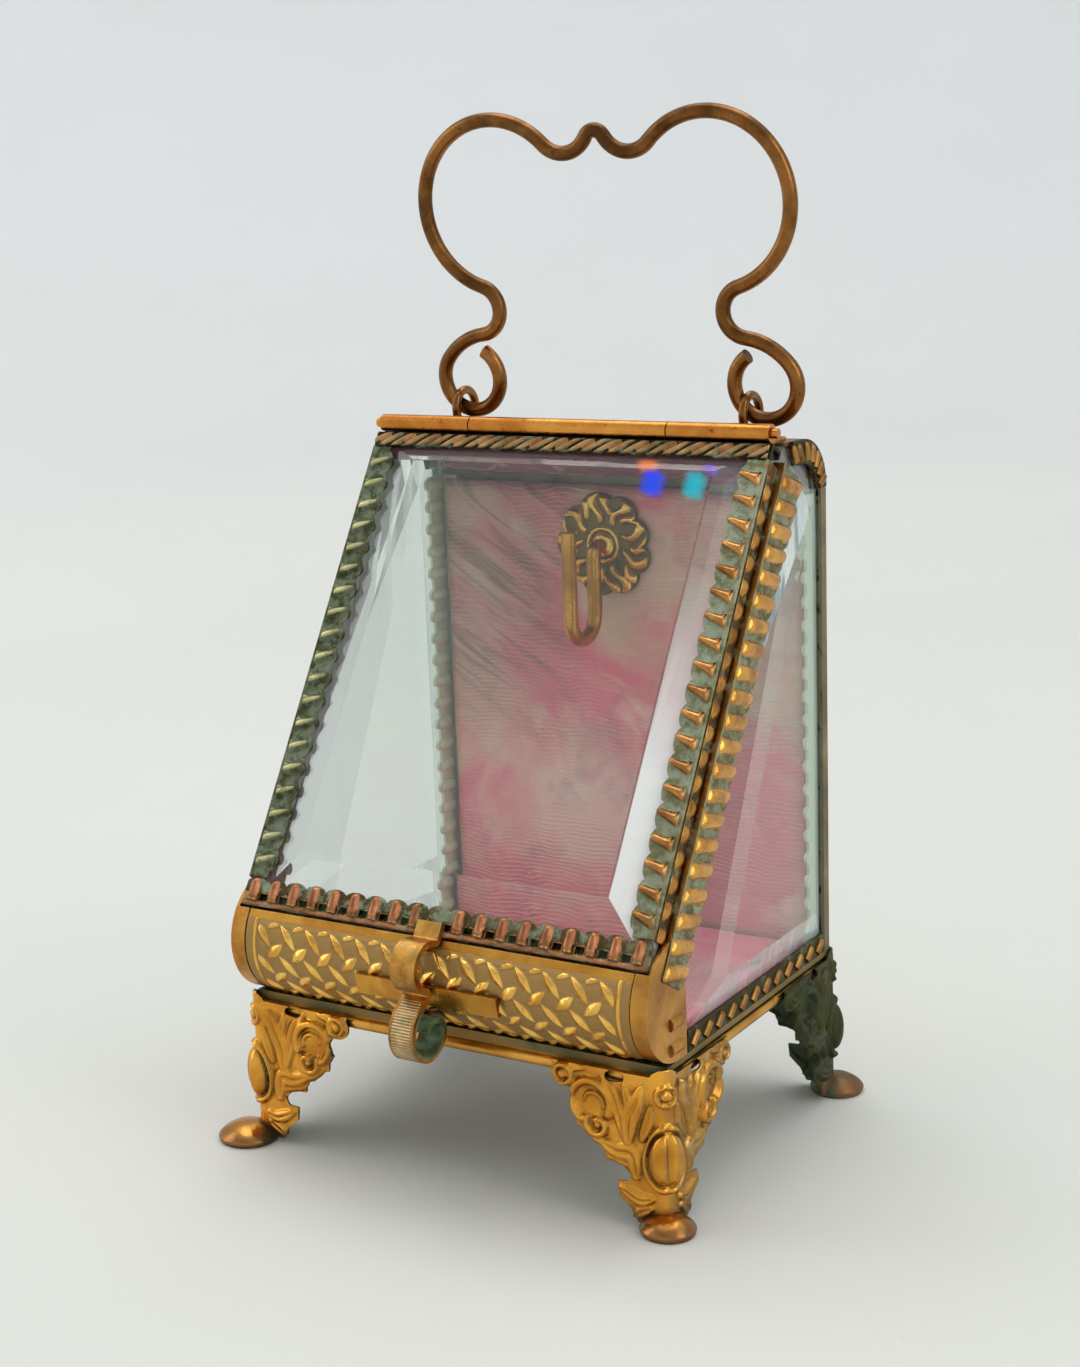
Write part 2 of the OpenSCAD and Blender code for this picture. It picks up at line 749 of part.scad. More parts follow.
module handle_eye(side) {
    shank = eye_z - eye_ring - eye_foot + sheet + 0.4;
    color(copper) on_side(side) translate([eye_x, eye_y, eye_z]) {
        rotate([0, 90, 0]) rotate_extrude() translate([eye_ring, 0]) circle(eye_wire);
        translate([0, 0, -eye_ring - shank]) cylinder(r = shank_radius, h = shank);
    }
}

// The bow's bends, from the dip at its middle out to the cut end inside the eye loop.
bow_bends = [[1.7, -60.3], [4.5, 106.2], [12.4, -208.6], [3.7, 155.6], [10.1, -43.6], [4.9, -277.7]];
bow_loop = bend_centre(bend_end([0, 0, 0], bow_bends, 5), bow_bends[5]);
bow_scale = (eye_x + bow_spread / 2) / bow_loop[0];
// The wire's height over the bottom of its loop, at a distance along the bow from that bottom.
function wire_rise(along) = let (r = bow_bends[5][0] * bow_scale) r - sqrt(r * r - along * along);
// The bow hangs with the middle of its wire at the eyes' centres, on average of the two.
eye_rise = (wire_rise(bow_shift - bow_spread / 2) + wire_rise(bow_shift + bow_spread / 2)) / 2;

// The whole bow runs from the left cut end, over the dip, to the right one.
module handle() {
    bends = [for (i = [5 : -1 : -5]) let (b = bow_bends[abs(i)])
        [b[0] * bow_scale, i == 0 ? 2 * b[1] : b[1]]];
    half = [for (b = bow_bends) [b[0] * bow_scale, b[1]]];
    tip = bend_end([0, 0, 0], half, 6);
    loop_bottom = (bow_loop[1] - bow_bends[5][0]) * bow_scale;
    color(copper) translate([0, eye_y, eye_z]) rotate([90 + bow_tip, 0, 0])
        translate([0, -eye_rise, 0]) rotate(-bow_lean) translate([bow_shift, -loop_bottom, 0])
            follow([-tip[0], tip[1], -tip[2]], bends) {
                circle(handle_wire);
                circle(handle_wire - hair);
            }
}

/* ---------- feet ---------- */

wing_thickness = 0.6;
foot_x = rim_x + rim_radius + gap + wing_thickness;
foot_y = rim_y + rim_radius + gap + wing_thickness;
wing_top = foot_height - 0.4;
wing_edge = [[0, 2.6], [1.8, 2.6], [3.2, 4.4], [6.4, 4.8], [7.6, 7], [12, 9.6], [14.8, 13.4],
    [15.4, 17.4], [18, 20.6], [17, 21.8], [0, 21.8]];

// A wing's outline: x is the distance from the corner, y the height above the floor.
module wing_outline() {
    difference() {
        union() {
            polygon([for (p = wing_edge) [p.x * wing_reach / 18, p.y * wing_top / 21.8]]);
            for (i = [0 : 5])
                translate(volute) rotate(-88 + i * 20) translate([7.4, 0]) circle(1.3);
            translate([wing_reach - 1.6, wing_top - 1.7]) circle(1.7);
        }
        translate([wing_reach - 10.4, wing_top - 1.8]) square([2.6, 1.5]);
        for (x = [wing_reach - 10.4, wing_reach - 7.8])
            translate([x, wing_top - 1.05]) circle(0.75);
    }
}
volute = [8.2 * wing_reach / 18, 13.8 * wing_top / 21.8];

// The raised scrolls on a wing.
module wing_relief() {
    translate([volute.x, volute.y, 0]) {
        rotate([0, 0, -75]) rotate_extrude(angle = 300) translate([4.3, 0]) circle(0.6);
        rotate([0, 0, 40]) rotate_extrude(angle = 240) translate([1.9, 0]) circle(0.55);
        rotate([0, 0, -95]) rotate_extrude(angle = 115) translate([6.6, 0]) circle(0.4);
    }
    translate([wing_reach - 2.6, wing_top - 2.4, 0])
        rotate_extrude(angle = 300) translate([1.5, 0]) circle(0.5);
}

// A stamped corner foot, drawn for the front right corner; its outer corner is the origin.
module foot(toe_shift, toe_size) {
    for (face = [0, 1]) mirror([face, face, 0]) mirror([1, 0, 0]) {
        translate([0, wing_thickness, 0]) rotate([90, 0, 0]) linear_extrude(wing_thickness)
            wing_outline();
        rotate([90, 0, 0]) wing_relief();
    }
    // the fold between the wings
    translate([-1, 1, 2.6]) cylinder(r = 1.05, h = rim_z - rim_radius - gap - 2.6);
    // the shell on the knee
    translate([-0.9, 0.9, 10]) rotate_extrude() intersection() {
        translate([-3.3, 0]) circle(6);
        translate([0, -6]) square([4, 12]);
    }
    // the ankle and the toe
    translate([-0.9, 0.9, 1]) cylinder(r1 = 1.9, r2 = 1.4, h = 4.6);
    translate([toe_shift.x, toe_shift.y, 0]) rotate_extrude()
        polygon([[0, 0], [toe_size, 0], [toe_size, 0.6], [toe_size * 0.6, 1.4], [0, 2.6]]);
    // the bracket under the tray
    translate([0, 0, wing_top - 2.7]) linear_extrude(0.5)
        polygon([[-0.3, 0.3], [-wing_reach * 0.5, 0.3], [-0.3, wing_reach * 0.5]]);
}

module place_foot(x_side, y_side, toe_shift, toe_size) {
    color(gilt) translate([0, case_y, 0])
        mirror([x_side < 0 ? 1 : 0, 0, 0]) mirror([0, y_side > 0 ? 1 : 0, 0])
            translate([foot_x, -foot_y, 0]) foot(toe_shift, toe_size);
}

// The toes have been bent by hand, each a little differently.
front = -1;
rear = 1;

base_tray();
front_panel();
catch_bar();
side_strip(right);  // side_strip_right
side_strip(left);  // side_strip_left
side_bottom_strip(right);  // side_bottom_strip_right
side_bottom_strip(left);  // side_bottom_strip_left
roof_strip(right);  // roof_strip_right
roof_strip(left);  // roof_strip_left
rear_post(right);  // rear_post_right
rear_post(left);  // rear_post_left
roof_panel();
back_panel();
side_glass(right);  // side_glass_right
side_glass(left);  // side_glass_left
back_pad();
floor_pad();
roof_lining();
rosette();
watch_hook();
hinge_frame_knuckles();
hinge_pin();
handle_eye(right);  // handle_eye_right
handle_eye(left);  // handle_eye_left
handle();
place_foot(right, front, [-0.7, 0.5], toe_radius - 0.2);  // foot_front_right
place_foot(left, front, [1.1, -0.6], toe_radius + 0.5);  // foot_front_left
place_foot(right, rear, [0, 0], toe_radius);  // foot_rear_right
place_foot(left, rear, [0.2, 0], toe_radius);  // foot_rear_left
door_glass();
door_top_rail();
door_bottom_rail();
door_stile(right);  // door_stile_right
door_stile(left);  // door_stile_left
hinge_door_knuckle();
latch_clip();
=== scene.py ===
"""Finish, padding, stamped relief, stage and camera of the glass watch casket, in the frame's own axes."""
import math
import random

import bmesh
import bpy
import numpy as np
from mathutils import Matrix, Vector


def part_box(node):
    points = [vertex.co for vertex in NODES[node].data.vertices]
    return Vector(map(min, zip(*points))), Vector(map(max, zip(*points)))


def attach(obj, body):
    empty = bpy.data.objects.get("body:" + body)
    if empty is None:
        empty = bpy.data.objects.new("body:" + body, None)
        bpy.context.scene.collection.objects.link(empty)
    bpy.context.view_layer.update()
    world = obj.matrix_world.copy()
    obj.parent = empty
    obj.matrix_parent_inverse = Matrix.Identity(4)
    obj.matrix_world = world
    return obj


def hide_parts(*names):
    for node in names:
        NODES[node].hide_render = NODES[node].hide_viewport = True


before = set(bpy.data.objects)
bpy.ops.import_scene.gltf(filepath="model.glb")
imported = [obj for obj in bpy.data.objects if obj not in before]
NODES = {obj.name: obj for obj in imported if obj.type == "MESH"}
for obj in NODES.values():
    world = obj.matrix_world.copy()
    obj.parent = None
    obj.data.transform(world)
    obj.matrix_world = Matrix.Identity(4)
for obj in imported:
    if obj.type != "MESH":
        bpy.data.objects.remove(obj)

MM = 0.001
DOOR_AXIS = (14.5, 102.2)       # the hinge's Y and Z; sizes and places are in millimetres
DOOR_TILT = math.radians(32.016)
BELLY = (-19.5, 31.6)           # the Y and Z of the middle of the front panel's curve
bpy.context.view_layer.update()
WORN_EDGE = 0.16
CASE_Y = 3.0                    # the middle of the case, behind the origin


# ---------- camera, stage and light ----------

CAMERA_PLACE = Vector((164.5, -263.4, 136.6)) * MM
CAMERA_YAW = math.radians(31.588)
CAMERA_DOWN = math.radians(12.625)
CAMERA_ROLL = math.radians(-2.081)
CAMERA_LENS = 58.47


def add_camera():
    """The photograph's view: from the front, turned to the casket's right side and a little above."""
    forward = Vector((-math.sin(CAMERA_YAW) * math.cos(CAMERA_DOWN),
                      math.cos(CAMERA_YAW) * math.cos(CAMERA_DOWN), -math.sin(CAMERA_DOWN)))
    level = forward.cross(Vector((0, 0, 1))).normalized()
    upright = level.cross(forward)
    right = level * math.cos(CAMERA_ROLL) + upright * math.sin(CAMERA_ROLL)
    up = upright * math.cos(CAMERA_ROLL) - level * math.sin(CAMERA_ROLL)
    data = bpy.data.cameras.new("camera")
    data.sensor_fit = "AUTO"
    data.sensor_width = 36
    data.lens = CAMERA_LENS
    data.clip_start = 0.01
    data.clip_end = 20
    camera = bpy.data.objects.new("camera", data)
    turn = Matrix((right, up, -forward)).transposed()
    camera.matrix_world = Matrix.Translation(CAMERA_PLACE) @ turn.to_4x4()
    bpy.context.scene.collection.objects.link(camera)
    bpy.context.scene.camera = camera
    bpy.context.scene.view_settings.view_transform = "Standard"


class Shade:
    """A material, or the world, and short calls for the nodes that the finishes share."""

    def __init__(self, name, kind="materials"):
        self.material = getattr(bpy.data, kind).new(name)
        self.material.use_nodes = True
        self.tree = self.material.node_tree
        self.tree.nodes.clear()
        self.coordinates = self.add("ShaderNodeTexCoord").outputs
        self.place = self.coordinates["Object"]

    def add(self, kind, inputs=None, **settings):
        made = self.tree.nodes.new(kind)
        for key, value in settings.items():
            setattr(made, key, value)
        for key, value in (inputs or {}).items():
            self.put(made.inputs[key], value)
        return made

    def put(self, socket, value):
        if isinstance(value, bpy.types.NodeSocket):
            self.tree.links.new(value, socket)
        elif socket.type == "RGBA":
            socket.default_value = (*value, 1)[:4]
        else:
            socket.default_value = value

    def parts(self, place=None):
        """The X, Y and Z of the object's own coordinates."""
        return self.add("ShaderNodeSeparateXYZ", {"Vector": place or self.place}).outputs

    def stretched(self, scale):
        """The object's own coordinates, scaled per axis, so that a pattern can run along one of them."""
        return self.add("ShaderNodeMapping", {"Vector": self.place, "Scale": scale}).outputs[0]

    def noise(self, scale, detail=4, roughness=0.55, place=None, twist=0):
        return self.add("ShaderNodeTexNoise", {
            "Vector": place or self.place, "Scale": scale, "Detail": detail, "Roughness": roughness,
            "Distortion": twist}).outputs["Fac"]

    def spots(self, scale):
        return self.add("ShaderNodeTexVoronoi", {"Vector": self.place, "Scale": scale}).outputs["Distance"]

    def ramp(self, value, low, high, start=0.0, end=1.0):
        """Maps low..high to start..end, and holds outside."""
        return self.add("ShaderNodeMapRange", {"Value": value, "From Min": low, "From Max": high,
                                               "To Min": start, "To Max": end}).outputs[0]

    def sum(self, operation, a, b=0.0):
        return self.add("ShaderNodeMath", {0: a, 1: b}, operation=operation).outputs[0]

    def times(self, a, b):
        return self.sum("MULTIPLY", a, b)

    def plus(self, a, b):
        return self.sum("ADD", a, b)

    def minus(self, a, b):
        return self.sum("SUBTRACT", a, b)

    def larger(self, a, b):
        return self.sum("MAXIMUM", a, b)

    def vector(self, operation, a, b=(0, 0, 0)):
        return self.add("ShaderNodeVectorMath", {0: a, 1: b}, operation=operation).outputs

    def own_normal(self, kind="Normal"):
        """The surface's normal in the object's own axes."""
        normal = self.add("ShaderNodeNewGeometry").outputs[kind]
        return self.add("ShaderNodeVectorTransform", {"Vector": normal}, vector_type="NORMAL",
                        convert_from="WORLD", convert_to="OBJECT").outputs[0]

    def mix(self, share, a, b):
        """Two colours mixed, each of them a socket or a colour as it looks on a screen, 0 to 255."""
        made = self.add("ShaderNodeMix", data_type="RGBA")
        for socket, value in ((made.inputs[0], share), (made.inputs[6], a), (made.inputs[7], b)):
            self.put(socket, linear(*value) if isinstance(value, tuple) else value)
        return made.outputs[2]

    def along(self, direction, vector=None):
        """The object's own coordinates measured along a direction."""
        return self.vector("DOT_PRODUCT", vector or self.place, direction)["Value"]

    def mm(self, *direction):
        """The object's own coordinates in millimetres along a direction."""
        return self.along([c / MM for c in direction])

    def between(self, value, low, high, soft):
        """1 from low to high, 0 outside, with soft sides."""
        return self.times(self.ramp(value, low - soft, low + soft),
                          self.ramp(value, high + soft, high - soft))

    def bump(self, height, distance, strength=1.0, normal=None):
        inputs = {"Height": height, "Distance": distance, "Strength": strength}
        if normal is not None:
            inputs["Normal"] = normal
        return self.add("ShaderNodeBump", inputs).outputs[0]

    def hollows(self, reach):
        """0 in the open and 1 deep between raised parts, within a reach in millimetres."""
        open_sky = self.add("ShaderNodeAmbientOcclusion", {"Distance": reach * MM}, samples=6)
        return self.minus(1.0, open_sky.outputs["AO"])

    def edges(self):
        """0 on a flat and up to 1 on a corner that hands rub."""
        rounded = self.add("ShaderNodeBevel", {"Radius": WORN_EDGE * MM}, samples=4)
        true = self.add("ShaderNodeNewGeometry").outputs["Normal"]
        return self.ramp(self.along(true, rounded.outputs[0]), 0.995, 0.9)

    def finish(self, **inputs):
        shader = self.add("ShaderNodeBsdfPrincipled")
        for key, value in inputs.items():
            self.put(shader.inputs[key.replace("_", " ")], value)
        self.end(shader.outputs[0])
        return self.material

    def layer(self, share, under, over):
        """One surface over another."""
        return self.add("ShaderNodeMixShader", {0: share, 1: under, 2: over.outputs[0]}).outputs[0]

    def end(self, surface, output="ShaderNodeOutputMaterial"):
        self.add(output, {"Surface": surface})


def linear(red, green, blue):
    """The scene's light for a colour as it looks on a screen."""
    shares = (value / 255 for value in (red, green, blue))
    return tuple(s / 12.92 if s <= 10 / 255 else ((s + 0.055) / 1.055) ** 2.4 for s in shares)


def paper_finish():
    """The studio's paper sweep, with faint mottling and a few specks, painted darker round the middle and
    lighter further out.
    """
    shade = Shade("studio_paper")
    cloud = shade.noise(6, detail=3)
    # Painted light and shade: the paper is darker round the middle and lighter further out, evening out how
    # the lamps fall on the sweep.
    away = shade.vector("LENGTH", shade.vector("MULTIPLY", shade.place, (1, 1, 0))[0])["Value"]
    far = shade.plus(shade.ramp(away, 0.4, 1.45), shade.times(shade.minus(cloud, 0.5), 0.25))
    tone = shade.mix(far, (205, 205, 199), (234, 235, 235))
    speck = shade.ramp(shade.spots(60), 0.012, 0.006)
    tone = shade.mix(shade.times(speck, 0.35), tone, (150, 146, 130))
    return shade.finish(Base_Color=tone, Roughness=shade.ramp(cloud, 0, 1, 0.75, 0.85),
                        Normal=shade.bump(shade.noise(900), 0.00005, 0.4))


SWEEP_FLAT = 0.9
SWEEP_CURVE = 0.7
SWEEP_TOP = 1.5
LIT_POINT = Vector((0, 0, 0.06))


def add_stage():
    """A round paper sweep: a level floor that curves up into a wall, the same from every side."""
    steps = 16
    profile = [(0.0, 0.0), (SWEEP_FLAT / 2, 0.0)]
    profile += [(SWEEP_FLAT + SWEEP_CURVE * math.sin(a), SWEEP_CURVE * (1 - math.cos(a)))
                for a in [i * math.pi / 2 / steps for i in range(steps + 1)]]
    profile += [(SWEEP_FLAT + SWEEP_CURVE, SWEEP_TOP)]
    sides = 96
    mesh = bmesh.new()
    centre = mesh.verts.new((0, 0, 0))
    turns = [(math.cos(2 * math.pi * k / sides), math.sin(2 * math.pi * k / sides)) for k in range(sides)]
    rings = [[mesh.verts.new((r * c, r * s, z)) for c, s in turns] for r, z in profile[1:]]
    for k in range(sides):
        mesh.faces.new((centre, rings[0][k], rings[0][(k + 1) % sides]))
        for low, high in zip(rings, rings[1:]):
            mesh.faces.new((low[k], high[k], high[(k + 1) % sides], low[(k + 1) % sides]))
    data = bpy.data.meshes.new("studio_sweep")
    mesh.to_mesh(data)
    mesh.free()
    data.polygons.foreach_set("use_smooth", [True] * len(data.polygons))
    sweep = bpy.data.objects.new("studio_sweep", data)
    bpy.context.scene.collection.objects.link(sweep)
    sweep.data.materials.append(paper_finish())


def add_light(name, place, width, height, power, colour):
    data = bpy.data.lights.new(name, "AREA")
    data.shape = "RECTANGLE"
    data.size, data.size_y = width, height
    data.energy = power
    data.color = colour
    lamp = bpy.data.objects.new(name, data)
    lamp.location = place
    lamp.rotation_euler = (LIT_POINT - Vector(place)).to_track_quat("-Z", "Y").to_euler()
    bpy.context.scene.collection.objects.link(lamp)


def add_world():
    """The room: pale above and behind, darker on the side that the photographer stands."""
    shade = Shade("room", "worlds")
    bpy.context.scene.world = shade.material
    depth = shade.parts(shade.coordinates["Generated"])["Y"]
    back = shade.add("ShaderNodeBackground", {"Color": (0.93, 0.97, 1.0),
                                              "Strength": shade.ramp(depth, -0.75, 0.1, 0.42, 1.15)})
    shade.end(back.outputs[0], "ShaderNodeOutputWorld")


def add_lights():
    add_light("soft_top", (-0.15, 0.25, 1.15), 0.9, 0.9, 5.6, (1.0, 0.985, 0.96))
    add_light("soft_left", (-0.95, -0.35, 0.55), 0.5, 0.8, 2.0, (0.96, 0.98, 1.0))
    add_light("soft_right", (0.95, -0.15, 0.6), 0.4, 0.8, 2.2, (1.0, 0.99, 0.97))


# ---------- finishes: their colours are given as they look on a screen ----------

GILT_BRIGHT = (232, 176, 72)
VERDIGRIS_PALE = (150, 168, 132)
VERDIGRIS_DARK = (48, 66, 38)


def outward_x(shade):
    return shade.sum("ABSOLUTE", shade.mm(1, 0, 0))


def outward_door(shade):
    """Millimetres outside the door's face."""
    height = shade.mm(0, -math.cos(DOOR_TILT), math.sin(DOOR_TILT))
    return shade.minus(height, -DOOR_AXIS[0] * math.cos(DOOR_TILT) + DOOR_AXIS[1] * math.sin(DOOR_TILT))


def down_door(shade):
    """Millimetres down the door's slope from the hinge axis."""
    drop = shade.mm(0, -math.sin(DOOR_TILT), -math.cos(DOOR_TILT))
    return shade.minus(drop, -DOOR_AXIS[0] * math.sin(DOOR_TILT) - DOOR_AXIS[1] * math.cos(DOOR_TILT))


def outward_rosette(shade):
    """Millimetres in front of the rosette's plate."""
    return shade.minus(ROSETTE_FRONT, shade.mm(0, 1, 0))


def outward_belly(shade):
    """Millimetres outside the front panel's curve."""
    level = shade.vector("MULTIPLY", shade.place, (0, 1, 1))[0]
    reach = shade.vector("DISTANCE", level, (0, BELLY[0] * MM, BELLY[1] * MM))["Value"]
    return shade.minus(shade.times(reach, 1 / MM), PANEL_RADIUS)


def stamped(name, outward, low, high, bright, deep, ground, green, green_share, rough):
    """Stamped strip: its raised parts are rubbed bright, and the ground between them is dull and crusted,
    painted near black deep in the hollows as painted shade.
    """
    shade = Shade(name)
    raised = shade.ramp(outward(shade), low, high)
    cloud = shade.noise(240, detail=5, twist=0.4)
    gold = shade.mix(shade.ramp(cloud, 0.36, 0.66), bright, deep)
    gold = shade.mix(shade.times(shade.edges(), 0.5), gold, GILT_BRIGHT)
    crust = shade.noise(430, detail=7, roughness=0.75)
    crust = shade.ramp(crust, 0.62 - 0.2 * green_share, 0.76 - 0.2 * green_share)
    crust = shade.times(crust, shade.ramp(shade.noise(90, detail=3), 0.35, 0.6, 0.45, 1.0))
    base = shade.mix(crust, ground, green)
    deepness = shade.hollows(0.9)
    # Painted shade: deep in the hollows the ground turns near black.
    base = shade.mix(shade.ramp(deepness, 0.3, 0.8), base, (40, 38, 22))
    spill = shade.times(raised, shade.ramp(shade.noise(700, detail=4), 0.72, 0.6, 0.35, 1.0))
    tone = shade.mix(spill, base, gold)
    metal = shade.larger(shade.ramp(spill, 0.2, 0.7), shade.ramp(crust, 0.2, 0.7, 0.9, 0.15))
    gloss = shade.plus(shade.ramp(spill, 0.2, 0.8, 0.52, rough), shade.ramp(cloud, 0.3, 0.7, -0.04, 0.08))
    relief = shade.plus(shade.noise(1500, detail=3), shade.times(shade.noise(420), 1.3))
    return shade.finish(Base_Color=tone, Metallic=metal, Roughness=gloss,
                        Normal=shade.bump(relief, 0.00009, 0.8))


def gilded(name, bright, deep, hollow, green, green_share, rough, dark_inside=False, metal_share=1.0,
           green_above=None, grey_side=0.0):
    """Fire-gilt stamped brass: bright where rubbed, painted dark brown in the hollows as painted shade, with
    green crusts. The side that looks in at the middle of the case was never gilded when dark_inside is set.
    Above green_above, in millimetres, it is all crust, and grey_side is how grey the side that looks to the
    right is made."""
    shade = Shade(name)
    cloud = shade.noise(140, detail=5, twist=0.4)
    grain = shade.noise(1600, detail=3)
    deepness = shade.hollows(1.1)
    tone = shade.mix(shade.ramp(cloud, 0.35, 0.68), bright, deep)
    # Painted shade: deep in the hollows the tone turns to the hollow colour.
    tone = shade.mix(shade.ramp(deepness, 0.16, 0.55), tone, hollow)
    tone = shade.mix(shade.times(shade.edges(), 0.6), tone, GILT_BRIGHT)
    patch = shade.noise(330, detail=6, roughness=0.7)
    patch = shade.ramp(patch, 0.62 - 0.3 * green_share, 0.74 - 0.3 * green_share)
    crust = shade.times(patch, shade.ramp(deepness, 0.12, 0.5, 0.25 * green_share, 1.0))
    crust = shade.times(crust, min(1.0, 0.35 + green_share))
    if green_above:
        above = shade.ramp(shade.mm(0, 0, 1), green_above, green_above + 0.4)
        crust = shade.larger(crust, shade.times(above, shade.ramp(cloud, 0.3, 0.6, 0.95, 0.6)))
    tone = shade.mix(crust, tone, green)
    metal = shade.ramp(crust, 0.1, 0.8, metal_share, 0.15 * metal_share)
    if grey_side:
        right = shade.ramp(shade.along((1, 0, 0), shade.own_normal()), 0.5, 0.85, 0.0, grey_side)
        right = shade.times(right, shade.ramp(shade.noise(190, detail=5), 0.35, 0.6, 0.4, 1.0))
        tone = shade.mix(right, tone, shade.mix(patch, (120, 118, 84), (176, 182, 156)))
    if dark_inside:
        low = shade.ramp(shade.mm(0, 0, 1), 1.4, 3.6, 0.85, 0.0)
        dull = shade.mix(shade.noise(500, detail=5), (112, 72, 46), (150, 108, 74))
        tone = shade.mix(low, tone, dull)
        away = shade.vector("NORMALIZE", shade.vector("MULTIPLY", shade.place, (1, 1, 0))[0])[0]
        inner = shade.ramp(shade.along(away, shade.own_normal()), -0.12, -0.4)
        tone = shade.mix(inner, tone, shade.mix(patch, (62, 56, 34), (70, 88, 62)))
        metal = shade.times(metal, shade.ramp(inner, 0, 1, 1.0, 0.5))
    gloss = shade.plus(shade.ramp(cloud, 0.3, 0.7, rough - 0.06, rough + 0.1),
                      shade.times(shade.larger(crust, deepness), 0.35))
    relief = shade.plus(shade.times(grain, 0.5), shade.times(crust, 1.6))
    relief = shade.plus(relief, shade.times(shade.noise(420, detail=2), 1.2))
    return shade.finish(Base_Color=tone, Metallic=metal, Roughness=gloss,
                        Normal=shade.bump(relief, 0.00009, 0.75))


def wire_finish(name, light, dark, rough):
    """Drawn wire with a brown patina, cloudy along its length, rubbed lighter here and there, and painted
    dark brown in its hollows as painted shade.
    """
    shade = Shade(name)
    cloud = shade.noise(75, detail=6, roughness=0.6, twist=0.6)
    tone = shade.mix(shade.ramp(cloud, 0.38, 0.66), dark, light)
    speck = shade.ramp(shade.noise(900, detail=4), 0.62, 0.72)
    tone = shade.mix(shade.times(speck, 0.6), tone, (60, 36, 18))
    deepness = shade.hollows(1.4)
    # Painted shade: dark brown where other parts close in on the wire.
    tone = shade.mix(shade.ramp(deepness, 0.3, 0.8), tone, (52, 40, 22))
    gloss = shade.ramp(cloud, 0.3, 0.7, rough + 0.12, rough - 0.04)
    relief = shade.plus(shade.noise(1400, detail=3), shade.times(shade.noise(260), 2.0))
    return shade.finish(Base_Color=tone, Metallic=1.0, Roughness=gloss,
                        Normal=shade.bump(relief, 0.00005, 0.6))


def glass_finish(name, face, lit, streaks, share_range, where):
    """Polished plate glass. On its ground facets the light of the room is painted in, as a pale painted
    reflection in streaks along their length; lit says which way the brightest of them look, and where gives
    how bright each part of them is."""
    shade = Shade(name)
    haze = shade.ramp(shade.noise(60, detail=5, roughness=0.7), 0.5, 0.8, 0.0, 0.012)
    flat = shade.add("ShaderNodeNewGeometry").outputs["True Normal"]
    own = shade.own_normal("True Normal")
    glass = shade.add("ShaderNodeBsdfPrincipled", {
        "Base Color": (0.9, 0.945, 0.93), "Roughness": haze, "IOR": 1.5, "Transmission Weight": 1.0,
        "Normal": shade.bump(shade.noise(18, detail=2), 0.0002, 0.1, flat)})
    facet = shade.ramp(shade.sum("ABSOLUTE", shade.along(face, own)), 0.9985, 0.992)
    toward = shade.ramp(shade.sum("ABSOLUTE", shade.along(lit, own)), 0.02, 0.16)
    streak = shade.noise(1.0, detail=4, roughness=0.55, place=shade.stretched(streaks), twist=0.4)
    share = shade.times(shade.times(facet, toward), shade.ramp(streak, 0.36, 0.6, *share_range))
    share = shade.times(share, where(shade))
    # Painted reflection: a pale, opaque layer laid over the facets that look the lit way.
    painted_reflection_tone = shade.mix(shade.ramp(shade.noise(1.0, detail=3, place=shade.stretched(streaks)), 0.4, 0.6),
                       (240, 246, 244), (190, 210, 216))
    painted_reflection = shade.add("ShaderNodeBsdfPrincipled", {"Base Color": painted_reflection_tone, "Roughness": 0.3, "Normal": flat})
    return shade, shade.layer(share, glass.outputs[0], painted_reflection)


def clear_shadow(shade, surface):
    """Ends a glass: its shadow is only a little darker than none, and soft light passes it unbent."""
    clear = shade.add("ShaderNodeBsdfTransparent", {"Color": (0.93, 0.95, 0.94)})
    path = shade.add("ShaderNodeLightPath").outputs
    soft = shade.larger(path["Is Shadow Ray"], path["Is Diffuse Ray"])
    shade.end(shade.layer(soft, surface, clear))
    return shade.material


# The small painted rainbows, glowing patches that stand for light: colour, left, right, top and foot across
# and down the door, and strength.
PAINTED_RAINBOWS = (((0.03, 0.08, 0.9), 14.4, 17.0, 6.3, 9.6, 0.85), ((0.02, 0.5, 0.62), 21.2, 23.6, 6.3, 9.8, 0.7),
            ((0.9, 0.25, 0.06), 12.8, 15.4, 4.6, 5.9, 0.6), ((0.2, 0.12, 0.8), 23.4, 24.8, 5.0, 6.0, 0.5))


